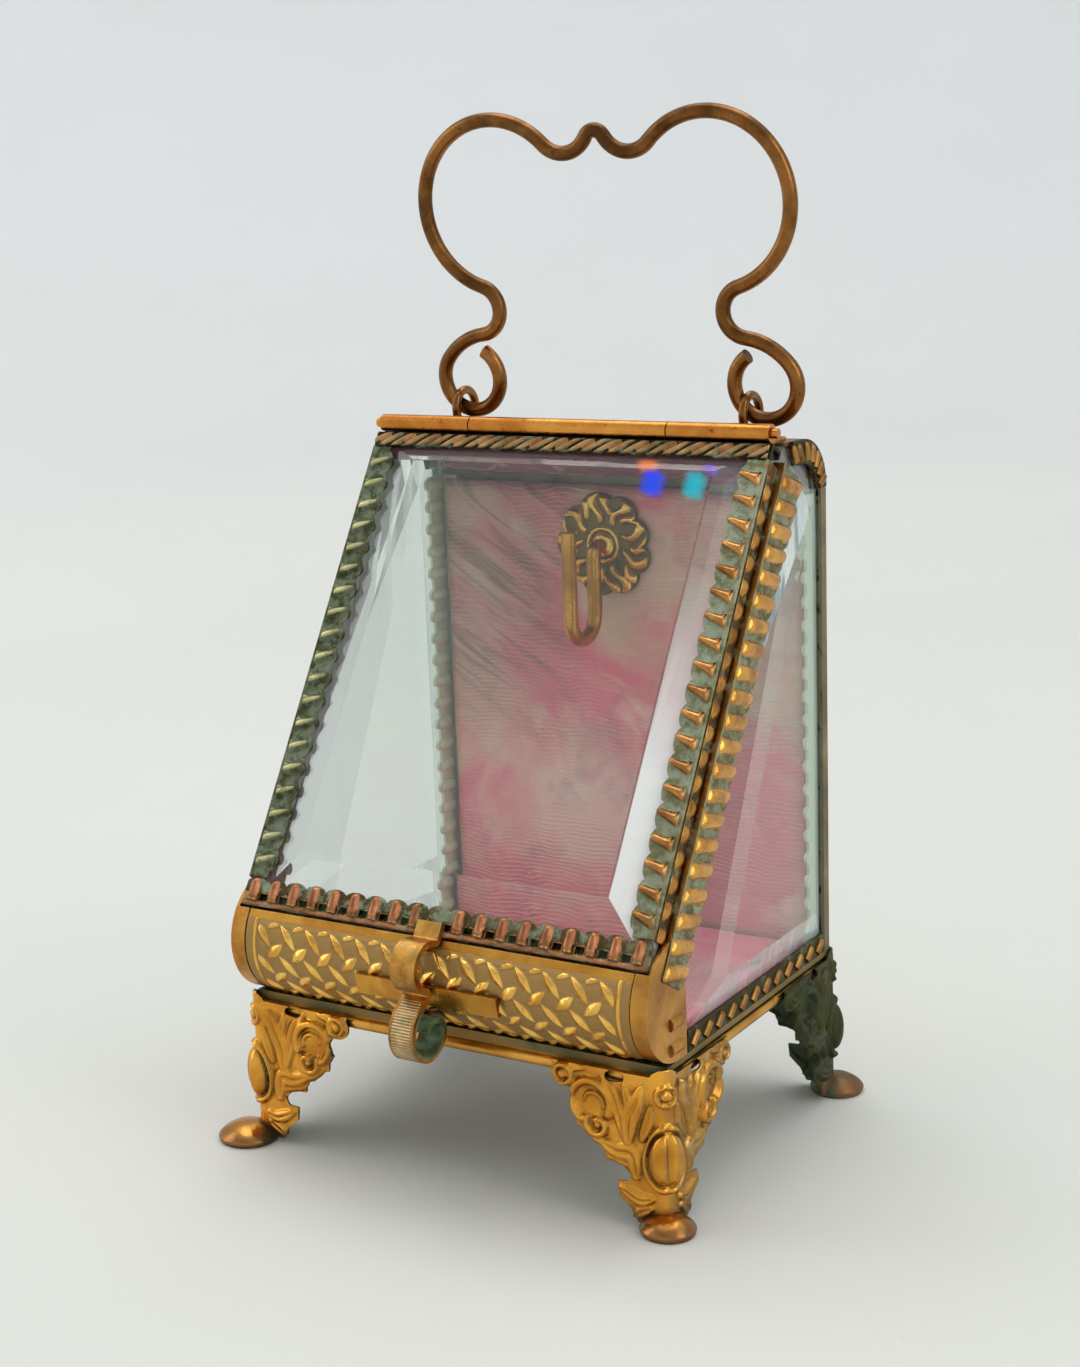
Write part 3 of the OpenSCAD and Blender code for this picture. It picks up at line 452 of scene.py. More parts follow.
def door_glass_finish():
    """The door's pane, with small painted rainbows, glowing patches that stand for the light its top facet
    throws near the right corner. The facet at the right carries no painted reflection at the top and a bright
    one lower down;
    the one at the left stays clear."""
    def lit_part(shade):
        right = shade.ramp(shade.mm(1, 0, 0), -1, 1, 0.12, 1.0)
        return shade.times(right, shade.ramp(down_door(shade), 20, 50, 0.06, 1.0))

    shade, surface = glass_finish("door_glass", (0, -math.cos(DOOR_TILT), math.sin(DOOR_TILT)), (1, 0, 0),
                                  (200, 18, 18), (0.75, 1.0), lit_part)
    across, down = shade.mm(1, 0, 0), down_door(shade)
    # Painted reflection: a dark reddish line along the right facet's arris.
    painted_arris = shade.times(shade.between(across, 24.95, 25.25, 0.1), shade.between(down, 9, 66, 1))
    painted_arris = shade.times(painted_arris, shade.ramp(outward_door(shade), -1.4, -1.1))
    line = shade.add("ShaderNodeBsdfPrincipled", {
        "Base Color": shade.mix(shade.noise(300), (96, 44, 48), (150, 96, 84)),
        "Roughness": shade.ramp(shade.noise(200), 0.3, 0.7, 0.3, 0.5)})
    surface = shade.layer(shade.times(painted_arris, 0.7), surface, line)
    for colour, left, right, top, foot, strength in PAINTED_RAINBOWS:
        patch = shade.times(shade.between(across, left, right, 0.5), shade.between(down, top, foot, 0.35))
        patch = shade.times(patch, shade.ramp(shade.noise(900, detail=2), 0.3, 0.6, 0.5, strength))
        # Painted light: each rainbow is a patch of glow on the glass.
        painted_rainbow_glow = shade.add("ShaderNodeEmission", {"Color": colour, "Strength": 1.0})
        surface = shade.layer(patch, surface, painted_rainbow_glow)
    return clear_shadow(shade, surface)


def side_glass_finish():
    """A side pane: its wide front facet carries streaks of painted reflection, with dark green reflections of
    the strip beside it.
    """
    shade, surface = glass_finish("side_glass", (1, 0, 0), (0, -math.cos(DOOR_TILT), math.sin(DOOR_TILT)),
                                  (26, 300, 26), (0.45, 0.95),
                                  lambda shade: shade.ramp(shade.along((1, 0, 0)), -1, 1, 0.2, 1.0))
    return clear_shadow(shade, surface)


MOIRE_PITCH = 0.7
FADED_ABOVE = 84
ROSE_BELOW = 50


def silk_finish(name, axis, faded, rose, stain, rubbed=False):
    """Watered silk: wavering lines across one axis, rose where the dye holds, faded and stained elsewhere;
    rubbed adds the dark strokes of its upper left part."""
    shade = Shade(name)
    parts = shade.parts()
    flow = shade.noise(70, detail=3, roughness=0.5, twist=0.5)
    drift = shade.noise(310, detail=2)
    phase = shade.times(parts[axis], 1000 * 2 * math.pi / MOIRE_PITCH)
    phase = shade.plus(phase, shade.times(flow, 34.0))
    phase = shade.plus(phase, shade.times(drift, 6.0))
    lines = shade.sum("SINE", phase)
    strength = shade.ramp(shade.noise(80, detail=3), 0.42, 0.64)
    lines = shade.times(shade.ramp(lines, 0.1, 1.0), strength)
    blotch = shade.noise(46, detail=4, roughness=0.55, twist=0.8)
    lift = shade.ramp(parts["Z"], FADED_ABOVE * MM, ROSE_BELOW * MM, -0.07, 0.1)
    tone = shade.mix(shade.ramp(shade.plus(blotch, lift), 0.44, 0.6), faded, rose)
    pale = shade.noise(34, detail=5, roughness=0.6, twist=1.8)
    tone = shade.mix(shade.ramp(pale, 0.56, 0.7, 0.0, 0.6), tone, stain)
    washed = shade.vector("DISTANCE", shade.stretched((0.75, 1, 1)), (-0.004, 0.0285, 0.04))["Value"]
    washed = shade.plus(washed, shade.times(shade.minus(pale, 0.5), 0.03))
    tone = shade.mix(shade.ramp(washed, 0.017, 0.006, 0.0, 0.7), tone, stain)
    grime = shade.noise(120, detail=5, roughness=0.65, twist=0.6)
    tone = shade.mix(shade.ramp(grime, 0.52, 0.76, 0.0, 0.4), tone, (116, 82, 84))
    if rubbed:
        run, across = shade.along((40, 0, -24)), shade.along((210, 0, 350))
        slant = shade.add("ShaderNodeCombineXYZ", {"X": run, "Y": across}).outputs[0]
        strokes = shade.ramp(shade.noise(1.0, detail=4, roughness=0.6, place=slant, twist=0.9), 0.48, 0.62)
        corner = shade.times(shade.ramp(parts["X"], -4 * MM, -13 * MM),
                             shade.ramp(parts["Z"], 50 * MM, 64 * MM))
        tone = shade.mix(shade.times(corner, 0.3), tone, (112, 92, 80))
        tone = shade.mix(shade.times(shade.times(strokes, corner), 0.6), tone, (104, 88, 72))
    # The watered lines are painted paler: the silk's watered pattern with a painted sheen along it.
    tone = shade.mix(shade.times(lines, 0.38), tone, (240, 214, 192))
    cords = shade.noise(1.0, detail=2, place=shade.stretched((400, 400, 5200)))
    relief = shade.plus(shade.times(lines, 1.2), shade.times(cords, 0.6))
    return shade.finish(Base_Color=tone, Roughness=shade.ramp(lines, 0.0, 1.0, 0.55, 0.36),
                        Sheen_Weight=0.3, Sheen_Roughness=0.35, Normal=shade.bump(relief, 0.00015, 0.8))


CLIP_LOOP = (-29.98, 25.0)      # the Y and Z of the middle of the clip's loop


def clip_finish():
    """The spring clip: gilt, green inside its loop, with fine milled ribs across the outside, their crests
    painted pale as painted highlights.
    """
    shade = Shade("clip_gilt")
    parts = shade.parts()
    y = shade.minus(parts["Y"], CLIP_LOOP[0] * MM)
    z = shade.minus(parts["Z"], CLIP_LOOP[1] * MM)
    turn = shade.sum("ARCTAN2", z, y)
    reach = shade.sum("SQRT", shade.plus(shade.times(y, y), shade.times(z, z)))
    ribs = shade.sum("SINE", shade.times(turn, 64.0))
    outside = shade.between(reach, 4.05 * MM, 4.7 * MM, 0.1 * MM)
    ribs = shade.times(shade.ramp(ribs, -0.4, 0.5), outside)
    cloud = shade.noise(260, detail=5, twist=0.4)
    gold = shade.mix(shade.ramp(cloud, 0.36, 0.66), (216, 160, 78), (150, 100, 44))
    rim = shade.ramp(shade.sum("ABSOLUTE", shade.minus(parts["X"], -0.5 * MM)), 1.5 * MM, 1.6 * MM)
    ribs = shade.times(ribs, shade.minus(1.0, rim))
    # Painted highlight: the ribs' crests are painted pale cream.
    gold = shade.mix(shade.times(ribs, 0.75), gold, (232, 220, 184))
    green = shade.mix(shade.ramp(shade.noise(500, detail=5), 0.35, 0.65),
                      (36, 54, 32), (98, 128, 90))
    inside = shade.ramp(reach, 3.9 * MM, 3.7 * MM, 0.0, 0.95)
    crust = shade.times(shade.ramp(shade.noise(420, detail=6), 0.5, 0.62),
                      shade.ramp(shade.hollows(1.2), 0.05, 0.4, 0.35, 0.8))
    crust = shade.larger(inside, crust)
    tone = shade.mix(crust, gold, green)
    relief = shade.plus(ribs, shade.noise(900, detail=3))
    return shade.finish(Base_Color=tone, Metallic=shade.ramp(crust, 0.2, 0.8, 1.0, 0.2),
                        Roughness=shade.ramp(crust, 0, 1, 0.28, 0.65),
                        Normal=shade.bump(relief, 0.00012, 0.9))


def roof_finish():
    """The roof: gilt brass outside, and the lining's silk over the strip behind the door's top rail, painted
    dark as shade.
    """
    shade = Shade("roof_gilt")
    parts = shade.parts()
    covered = shade.times(shade.ramp(parts["Z"], 100.12 * MM, 100.06 * MM),
                        shade.ramp(parts["Y"], 21.5 * MM, 21.3 * MM))
    cloud = shade.noise(150, detail=5, twist=0.4)
    gold = shade.mix(shade.ramp(cloud, 0.36, 0.66), (190, 140, 66), (128, 92, 46))
    crust = shade.ramp(shade.noise(330, detail=6, roughness=0.7), 0.5, 0.62, 0.0, 0.8)
    gold = shade.mix(crust, gold, (96, 106, 70))
    # Painted shade: the lining's silk here is dark, for the shade under the roof.
    silk = shade.mix(shade.noise(420, detail=4), (112, 66, 78), (142, 92, 100))
    metal = shade.times(shade.ramp(crust, 0, 1, 1.0, 0.4), shade.ramp(covered, 0, 1, 1.0, 0.0))
    return shade.finish(Base_Color=shade.mix(covered, gold, silk), Metallic=metal,
                        Roughness=shade.ramp(covered, 0, 1, 0.4, 0.6),
                        Normal=shade.bump(shade.noise(1300, detail=3), 0.00008, 0.7))


# ---------- meshes ----------

def add_piece(name, points, faces, finish, body):
    """A new piece of the casket from points in millimetres, riding on a body."""
    mesh = bpy.data.meshes.new(name)
    mesh.from_pydata([tuple(c * MM for c in p) for p in points], [],
                     [tuple(int(i) for i in f) for f in faces])
    mesh.validate()
    mesh.polygons.foreach_set("use_smooth", [True] * len(mesh.polygons))
    piece = bpy.data.objects.new(name, mesh)
    bpy.context.scene.collection.objects.link(piece)
    piece.data.materials.append(finish)
    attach(piece, body)
    return piece


def box_mm(node):
    low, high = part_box(node)
    return low / MM, high / MM


def wear(names, finish):
    """Gives CAD nodes their finish; a name that ends in * stands for a right and a left node."""
    for name in names.split():
        for side in ("right", "left") if name.endswith("*") else ("",):
            slots = NODES[name.rstrip("*") + side].data.materials
            slots.clear()
            slots.append(finish)


def unit(x):
    return np.clip(x, 0, 1)


def dome(x):
    """A half-circle's height: 1 in its middle and 0 from x = 1 outward."""
    return np.sqrt(unit(1 - x ** 2))


def shell(top, back, keep):
    """Points and faces of a thin sheet between two grids of points; keep says which cells are there."""
    rows, columns = keep.shape
    index = np.arange((rows + 1) * (columns + 1)).reshape(rows + 1, columns + 1)
    points = np.concatenate([top.reshape(-1, 3), back.reshape(-1, 3)])
    under = index + index.size
    faces = []
    for r, c in zip(*np.nonzero(keep)):
        corners = [(r, c), (r, c + 1), (r + 1, c + 1), (r + 1, c)]
        faces.append([index[k] for k in corners])
        faces.append([under[k] for k in reversed(corners)])
        beside = [(r - 1, c), (r, c + 1), (r + 1, c), (r, c - 1)]
        for side, (a, b) in enumerate(zip(corners, corners[1:] + corners[:1])):
            nr, nc = beside[side]
            inside = 0 <= nr < rows and 0 <= nc < columns and keep[nr, nc]
            if not inside:
                faces.append([index[b], index[a], under[a], under[b]])
    used = np.unique(np.array([i for f in faces for i in f]))
    place = {int(u): i for i, u in enumerate(used)}
    return points[used], [[place[int(i)] for i in f] for f in faces]


def sheet(top, back):
    """Points and faces of a thin sheet with every cell in place."""
    return shell(top, back, np.ones((top.shape[0] - 1, top.shape[1] - 1), bool))


# ---------- the front panel's basket weave ----------

WEAVE_PITCH = 4.35
WEAVE_RISE = 0.55
SHORT_LOZENGE = (math.radians(-40), 4.2, 1.85)    # angle, length and width
LONG_LOZENGE = (math.radians(48), 5.1, 1.7)
PAD_HALF = 0.98
PAD_RISE = 0.12
WEAVE_BORDER = 2.1              # the plain border at each end, and the bead in it
BEAD_PLACE = 1.6
PANEL_RADIUS = 8.5
PANEL_TOP = math.radians(150)
PANEL_FOOT = math.radians(263)
PANEL_CELL = 0.16


def lozenge(u, v, angle, length, width):
    """The height, 0 to 1, of a lozenge with a ridge along it, centred at the origin."""
    c, s = math.cos(angle), math.sin(angle)
    along = np.abs(u * c + v * s) / (length / 2)
    across = np.abs(v * c - u * s) / (width / 2)
    return unit(unit(1 - along ** 1.7) - across)


def weave_height(x, arc):
    """Short lozenges one way and long ones the other, between small square pads."""
    u = (x / WEAVE_PITCH + 0.5) % 1 - 0.5
    v = (arc / WEAVE_PITCH + 0.5) % 1 - 0.5
    height = np.zeros_like(x)
    for du in (-1, 0, 1):
        for dv in (-1, 0, 1):
            a, b = (u - du) * WEAVE_PITCH, (v - dv) * WEAVE_PITCH
            height = np.maximum(height, lozenge(a, b, *SHORT_LOZENGE))
            a, b = a - WEAVE_PITCH / 2, b - WEAVE_PITCH / 2
            height = np.maximum(height, lozenge(a, b, *LONG_LOZENGE))
            for pu, pv in ((0.5, 0.0), (0.0, 0.5)):
                a, b = (u - du - pu) * WEAVE_PITCH, (v - dv - pv) * WEAVE_PITCH
                reach = (np.abs(a + b) + np.abs(a - b)) / 2
                height = np.maximum(height, PAD_RISE * unit((PAD_HALF - reach) / 0.2))
    return height


def add_weave(finish):
    """A stamped skin over the front panel's round outside, with a bead and a plain border at each end."""
    low, high = box_mm("front_panel")
    centre_y, centre_z, half = low.y + PANEL_RADIUS, low.z + PANEL_RADIUS, high.x
    columns = np.arange(-half, half + 0.01, PANEL_CELL)
    angles = np.arange(PANEL_TOP, PANEL_FOOT, PANEL_CELL / PANEL_RADIUS)
    x, angle = np.meshgrid(columns, angles)
    arc = (angle - PANEL_TOP) * PANEL_RADIUS
    end = half - np.abs(x)
    plain = unit((end - WEAVE_BORDER) / 0.25) * unit((arc - 0.3) / 0.25)
    bead = 0.3 * np.sqrt(unit(1 - np.abs(end - BEAD_PLACE) / 0.35))
    rise = np.maximum(0.03 + WEAVE_RISE * weave_height(x, arc) * plain, bead)

    def place(height):
        r = PANEL_RADIUS + height
        return np.stack([x, centre_y + r * np.cos(angle), centre_z + r * np.sin(angle)], axis=-1)

    points, faces = sheet(place(rise), place(np.full_like(rise, -0.2)))
    add_piece("front_panel_weave", points, faces, finish, "case")


# ---------- the stamped strips ----------

DOOR_HALF = 33.2
DOOR_LENGTH = 76.59
DOOR_BAND = 4.2
SIDE_FACE = 34.0
SIDE_SEAT = 2.92                # how far the side strips lie under the door's face
SIDE_BAND = 6.6
SIDE_START = 3.0
DOOR_SIDE = 2.5
SIDE_END = 76.9
LOBE_PITCH = 3.5
STILE_FIRST = 6.67              # the first lobe of each strip
SIDE_FIRST = 4.995
RAIL_FIRST = 1.7 - DOOR_HALF
STRIP_CELL = 0.24

SLOPE_DOWN = np.array([0, -math.sin(DOOR_TILT), -math.cos(DOOR_TILT)])
DOOR_OUT = np.array([0, -math.cos(DOOR_TILT), math.sin(DOOR_TILT)])
HINGE = np.array([0, *DOOR_AXIS])
ACROSS = np.array([1.0, 0, 0])


def on_door(x, down, out):
    """A point from its X, its way down the slope from the hinge axis and its height over the door's face."""
    return HINGE + ACROSS * x[..., None] + SLOPE_DOWN * down[..., None] + DOOR_OUT * out[..., None]


def nearest(s, first, count):
    """The distance along the strip to the nearest of a row of lobes."""
    index = np.clip(np.round((s - first) / LOBE_PITCH), 0, count - 1)
    return s - first - index * LOBE_PITCH


def knuckles(u, t, root, tip, half, rise, taper=0.25, lean=0.0):
    """Domed fingers that start at the smooth border and end round, a little narrower at the tip."""
    share = unit((t - root) / (tip - root))
    width = half * (1 - taper * share)
    across = u - lean * (t - (root + tip) / 2)
    body = dome(across / width)
    beyond = unit((t - (tip - width)) / width)
    end = np.sqrt(unit(1 - beyond ** 2 - (across / width) ** 2 * (beyond > 0)))
    end = np.where(beyond > 0, unit(end / np.maximum(body, 0.05)), 1)
    start = unit((t - root) / 0.35)
    return rise * body * end * start * (0.82 + 0.18 * np.sin(np.pi * share))


def add_strip(name, length, first, count, place, finish, body, band, root, half, rise, notch,
              bare=None, pocket=0.0, flip=False, taper=0.25, lean=0.0):
    """A stamped strip with a rolled border, count fingers across it and a scalloped inner edge. Its fingers
    start at root, are 2 half wide and rise high, and its edge is notch deep between them; there are none in
    bare, and holes pocket wide lie between them."""
    s, v = np.meshgrid(np.arange(length[0], length[1] + STRIP_CELL / 2, STRIP_CELL),
                       np.linspace(0, 1, int(band / STRIP_CELL) + 1), indexing="ij")
    u = nearest(s, first, count)
    edge = band - notch * unit(1 - dome(u / (LOBE_PITCH / 2)))
    t = v * edge
    border = 0.22 * dome((t - root * 0.45) / (root * 0.5))
    fingers = knuckles(u, t, root, band - 0.1, half, rise, taper, lean)
    keep = np.ones((s.shape[0] - 1, s.shape[1] - 1), bool)
    if bare:
        fingers *= (s < bare[0]) | (s > bare[1])
    if pocket:
        middle = LOBE_PITCH / 2 - np.abs(u)
        hole = (middle < pocket / 2) & (t > root + 0.05) & (t < root + 1.2)
        keep = ~(hole[:-1, :-1] | hole[1:, 1:])
    ripple = 0.05 * np.sin(s * 3.1) * np.sin(t * 2.3)
    out = 0.07 + np.maximum(border, fingers) + ripple * (fingers < 0.05) * (border < 0.02)
    points, faces = shell(place(s, t, out), place(s, t, np.full_like(out, 0.02)), keep)
    if flip:
        faces = [f[::-1] for f in faces]
    add_piece(name, points, faces, finish, body)


def add_strips(side_finish, stile_finish, left_painted_light_finish, claw_finish, rail_finish, shade_sheet_finish):
    """The fingers of the door's stiles, bottom rail and two sides, and of the two side strips, and a
    near-black sheet of painted shade behind the rail's pockets.
    """
    top, foot = 4.0, DOOR_LENGTH - DOOR_BAND - 0.05
    for side, word in ((1, "right"), (-1, "left")):
        add_strip("door_stile_%s_fingers" % word, (top, foot), STILE_FIRST, 19,
                  lambda s, t, out, side=side: on_door(side * (DOOR_HALF - t), s, out),
                  stile_finish if side > 0 else left_painted_light_finish, "door", DOOR_BAND,
                  root=0.5, half=0.95, rise=0.92, notch=0.9, flip=side > 0, taper=0.55, lean=-0.3)
        add_strip("door_side_%s_fingers" % word, (6.2, foot), SIDE_FIRST, 20,
                  lambda s, t, out, side=side: on_door(side * (DOOR_HALF + out), s, -0.2 - t),
                  claw_finish, "door", DOOR_SIDE,
                  root=0.1, half=1.25, rise=0.42, notch=0.0, flip=side < 0, taper=0.0, lean=-0.28)
        add_strip("side_strip_%s_fingers" % word, (SIDE_START, SIDE_END), SIDE_FIRST, 21,
                  lambda s, t, out, side=side: on_door(side * (SIDE_FACE + out), s, -SIDE_SEAT - t),
                  side_finish, "case", SIDE_BAND,
                  root=0.3, half=1.25, rise=0.8, notch=1.2, flip=side < 0, taper=0.2, lean=-0.28)
    add_strip("door_bottom_rail_fingers", (-DOOR_HALF, DOOR_HALF), RAIL_FIRST, 19,
              lambda s, t, out: on_door(s, DOOR_LENGTH - t, out), rail_finish, "door", DOOR_BAND,
              root=0.8, half=0.86, rise=0.9, notch=0.9, bare=(-3.4, 2.4), pocket=1.5)
    # Painted shade: a near-black sheet that shows through the rail's pockets.
    x, down = np.meshgrid(np.linspace(0.6 - DOOR_HALF, DOOR_HALF - 0.6, 40), np.linspace(74.2, 76.0, 4))
    points, faces = sheet(on_door(x, down, np.full_like(x, -0.52)), on_door(x, down, np.full_like(x, -0.57)))
    add_piece("door_bottom_rail_shade_sheet", points, faces, shade_sheet_finish, "door")


ROPE_TOP = 1.65
ROPE_BAND = 2.3
ROPE_PITCH = 2.213
ROPE_START = 31.87


def add_rope(finish):
    """The stamped rope along the door's top rail: slanted strands with deep gaps between them."""
    x, down = np.meshgrid(np.arange(-DOOR_HALF + 0.3, DOOR_HALF - 0.3, 0.2),
                          np.linspace(ROPE_TOP, ROPE_TOP + ROPE_BAND, 14))
    mid = ROPE_TOP + ROPE_BAND / 2
    turn = ((ROPE_START - x - 1.5 * (down - mid)) / ROPE_PITCH + 0.5) % 1 - 0.5
    strand = dome(turn / 0.42)
    round_over = dome((down - mid) / (0.52 * ROPE_BAND))
    out = 0.08 + 0.6 * strand * round_over
    points, faces = sheet(on_door(x, down, out), on_door(x, down, np.full_like(x, 0.02)))
    add_piece("door_top_rail_rope", points, [f[::-1] for f in faces], finish, "door")


# ---------- the rosette ----------

ROSETTE_FRONT = 24.7
ROSETTE_HEIGHT = 83.0
ROSETTE_RADIUS = 8.1
ROSETTE_RAYS = 18
ROSETTE_RING = 2.5              # the ring round the boss
ROSETTE_BOSS = 1.9


def rosette_edge(angle):
    """The scalloped outline: one lobe over every second ray, none quite like the next."""
    lobes = np.abs(np.sin(angle * ROSETTE_RAYS / 4 + 0.3 * np.sin(angle * 2)))
    return ROSETTE_RADIUS * (0.86 + 0.14 * lobes ** 0.6) - 0.12 * (1 + np.sin(angle * 3 + 1))


def rosette_relief(angle, r):
    """Wavy rays that thicken and curl towards the rim, a rolled rim, and a boss where the hook comes out."""
    height = 0.05 * np.sin(r * 2.4) * np.cos(angle * 5)
    edge = rosette_edge(angle)
    for k in range(ROSETTE_RAYS):
        start, lean = (2.9, 0.1) if k % 2 else (4.3, -0.12)
        middle = 2 * math.pi * k / ROSETTE_RAYS + lean * np.sin((r - start) * 1.25 + k * 1.9)
        across = (np.angle(np.exp(1j * (angle - middle)))) * r
        share = unit((r - start) / (edge - start))
        width = 0.34 + 0.66 * share
        ends = dome((share - 0.55) / 0.47)
        height = np.maximum(height, 0.85 * ends * dome(across / width))
    height = np.maximum(height, 0.5 * dome((r - ROSETTE_RING) / 0.3))
    boss = 0.95 * dome(r / ROSETTE_BOSS)
    return np.maximum(height, boss) * np.clip((edge - r) / 0.15, 0.15, 1)


def add_rosette(finish):
    """The stamped rosette that holds the hook, in place of the plain one."""
    rings, sides = 36, 288
    angle, share = np.meshgrid(2 * math.pi * np.arange(sides) / sides, np.linspace(0.02, 1, rings))
    r = share * rosette_edge(angle)
    x, z = r * np.cos(angle), ROSETTE_HEIGHT + r * np.sin(angle)
    front = np.stack([x, ROSETTE_FRONT - rosette_relief(angle, r), z], axis=-1).reshape(-1, 3)
    back = np.stack([x, np.full_like(x, ROSETTE_FRONT + 0.6), z], axis=-1).reshape(-1, 3)
    under = rings * sides
    faces = [list(range(sides)), [under + j for j in reversed(range(sides))]]
    for j in range(sides):
        n = (j + 1) % sides
        for k in range(rings - 1):
            a, b, c, d = k * sides + j, k * sides + n, (k + 1) * sides + n, (k + 1) * sides + j
            faces += [[a, b, c, d][::-1], [under + i for i in (a, b, c, d)]]
        rim = (rings - 1) * sides
        faces.append([rim + j, rim + n, under + rim + n, under + rim + j][::-1])
    piece = add_piece("rosette_stamped", np.concatenate([front, back]), faces, finish, "case")
    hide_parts("rosette")


# ---------- the stamped feet ----------

FOOT_CELL = 0.2
FOOT_BEND = 1.5
FOOT_SHEET = 0.4
FOOT_REACH = 18.0
CROWN_TOP = 23.0
WING_EDGE = [(0, 0.8), (4.6, 0.8), (5.6, 2.6), (7.4, 4.2), (7.6, 6.2), (5.9, 6.3), (5.4, 7.4), (7.0, 8.8),
             (9.2, 8.9), (9.8, 10.6), (11.0, 11.0), (12.2, 12.6), (13.6, 12.9), (13.8, 14.6), (14.6, 15.3),
             (14.2, 17.2), (15.2, 19.4), (16.6, 20.2), (17.4, 21.8), (0, 21.8)]
CROWN_EDGE = [(0, 20), (2.6, 20), (2.2, 22.2), (0.9, CROWN_TOP), (0, CROWN_TOP)]


def curve(points, steps=14):
    """A smooth line through a few points."""
    p = np.array([points[0], *points, points[-1]], float)
    out = []
    for a, b, c, d in zip(p, p[1:], p[2:], p[3:]):
        for t in np.linspace(0, 1, steps, endpoint=False):
            out.append(0.5 * (2 * b + (c - a) * t + (2 * a - 5 * b + 4 * c - d) * t * t
                              + (3 * b - a - 3 * c + d) * t ** 3))
    return np.array(out + [p[-1]])


def spiral(centre, radius, first, last, shrink, count=7):
    """Points that wind from the radius to a part of it, between two angles in degrees."""
    turn = np.radians(np.linspace(first, last, count))
    r = radius * np.linspace(1, shrink, count)
    return [(centre[0] + q * math.cos(a), centre[1] + q * math.sin(a)) for q, a in zip(r, turn)]


def line_distance(t, z, line):
    """Distance from a grid to a line of points, and how far along the line the nearest point is, 0 to 1."""
    best = np.full(t.shape, 1e9)
    along = np.zeros(t.shape)
    lengths = np.concatenate([[0], np.cumsum(np.hypot(*np.diff(line, axis=0).T))])
    for i, (a, b) in enumerate(zip(line, line[1:])):
        d = b - a
        size = max(d @ d, 1e-9)
        share = unit(((t - a[0]) * d[0] + (z - a[1]) * d[1]) / size)
        away = np.hypot(t - a[0] - share * d[0], z - a[1] - share * d[1])
        closer = away < best
        best = np.where(closer, away, best)
        along = np.where(closer, (lengths[i] + share * (lengths[i + 1] - lengths[i])) / lengths[-1], along)
    return best, along


def outline_distance(t, z, outline):
    """Signed distance to a closed outline, less than 0 inside it."""
    p = np.array(list(outline) + [outline[0]], float)
    away, _ = line_distance(t, z, p)
    inside = np.zeros(t.shape, bool)
    for a, b in zip(p, p[1:]):
        crosses = (a[1] > z) != (b[1] > z)
        at = (b[0] - a[0]) * (z - a[1]) / (b[1] - a[1] + 1e-12) + a[0]
        inside ^= crosses & (t < at)
    return np.where(inside, -away, away)


def cord_ridge(t, z, points, width, height, taper=0.35):
    """A rounded ridge along a curve, thinner towards its end."""
    away, along = line_distance(t, z, curve(points))
    w = width * (1 - taper * along)
    return height * dome(away / w)


def leaf(t, z, points, width, height, vein=0.45):
    """A leaf along a curve: widest a third of the way up, with a groove down its middle."""
    away, along = line_distance(t, z, curve(points))
    w = width * np.sin(np.pi * unit(along * 0.86 + 0.12)) ** 0.7 + 0.05
    groove = 1 - vein * np.exp(-(away / (0.22 * width)) ** 2)
    return height * dome(away / w) * groove


SCROLLS = [
    (spiral((11.2, 16.9), 3.0, 205, -60, 1.0, 9) + spiral((10.2, 13.9), 1.9, 20, -300, 0.35, 10), 0.72, 0.95),
    (spiral((11.0, 16.7), 1.7, 190, 10, 0.8), 0.4, 0.5),
    (spiral((15.6, 20.1), 1.5, 250, -60, 0.75, 8), 0.5, 0.7),
    (spiral((10.4, 13.6), 4.1, -100, 10, 1.0), 0.45, 0.45),
]
SCROLL_EYES = ((15.6, 20.1, 0.55), (10.2, 13.9, 0.5))
LEAVES = [
    ([(5.6, 12.5), (5.4, 15.5), (4.2, 18.2), (3.4, 20.6)], 1.5, 0.95),
    ([(6.0, 12.2), (7.0, 16.0), (8.0, 19.0), (9.8, 21.2)], 1.0, 0.7),
    ([(5.2, 15.0), (5.6, 18.0), (6.2, 20.8)], 0.8, 0.7),
    ([(4.6, 7.6), (5.2, 10.5), (7.4, 10.6), (10.0, 11.6)], 1.5, 0.8),
    ([(5.0, 8.8), (6.6, 9.4), (9.4, 9.9)], 0.9, 0.6),
    ([(9.2, 11.3), (11.2, 12.2), (13.2, 13.7)], 0.8, 0.55),
    ([(12.0, 13.6), (13.6, 15.2), (14.2, 17.0)], 0.8, 0.55),
    ([(2.4, 4.6), (4.2, 4.2), (7.2, 5.6)], 0.95, 0.75),
    ([(2.6, 3.2), (4.0, 2.4), (5.2, 1.6)], 0.9, 0.6),
    ([(3.6, 13.0), (2.6, 15.6), (2.2, 18.0)], 0.9, 0.6),
    ([(13.6, 18.6), (14.6, 21.0), (12.2, 21.4)], 0.7, 0.5),
]
OVAL_CENTRE = 10.6
OVAL_HALF_HEIGHT = 5.0
OVAL_HALF_WIDTH = 3.5
BOSS = (0.0, 19.4)


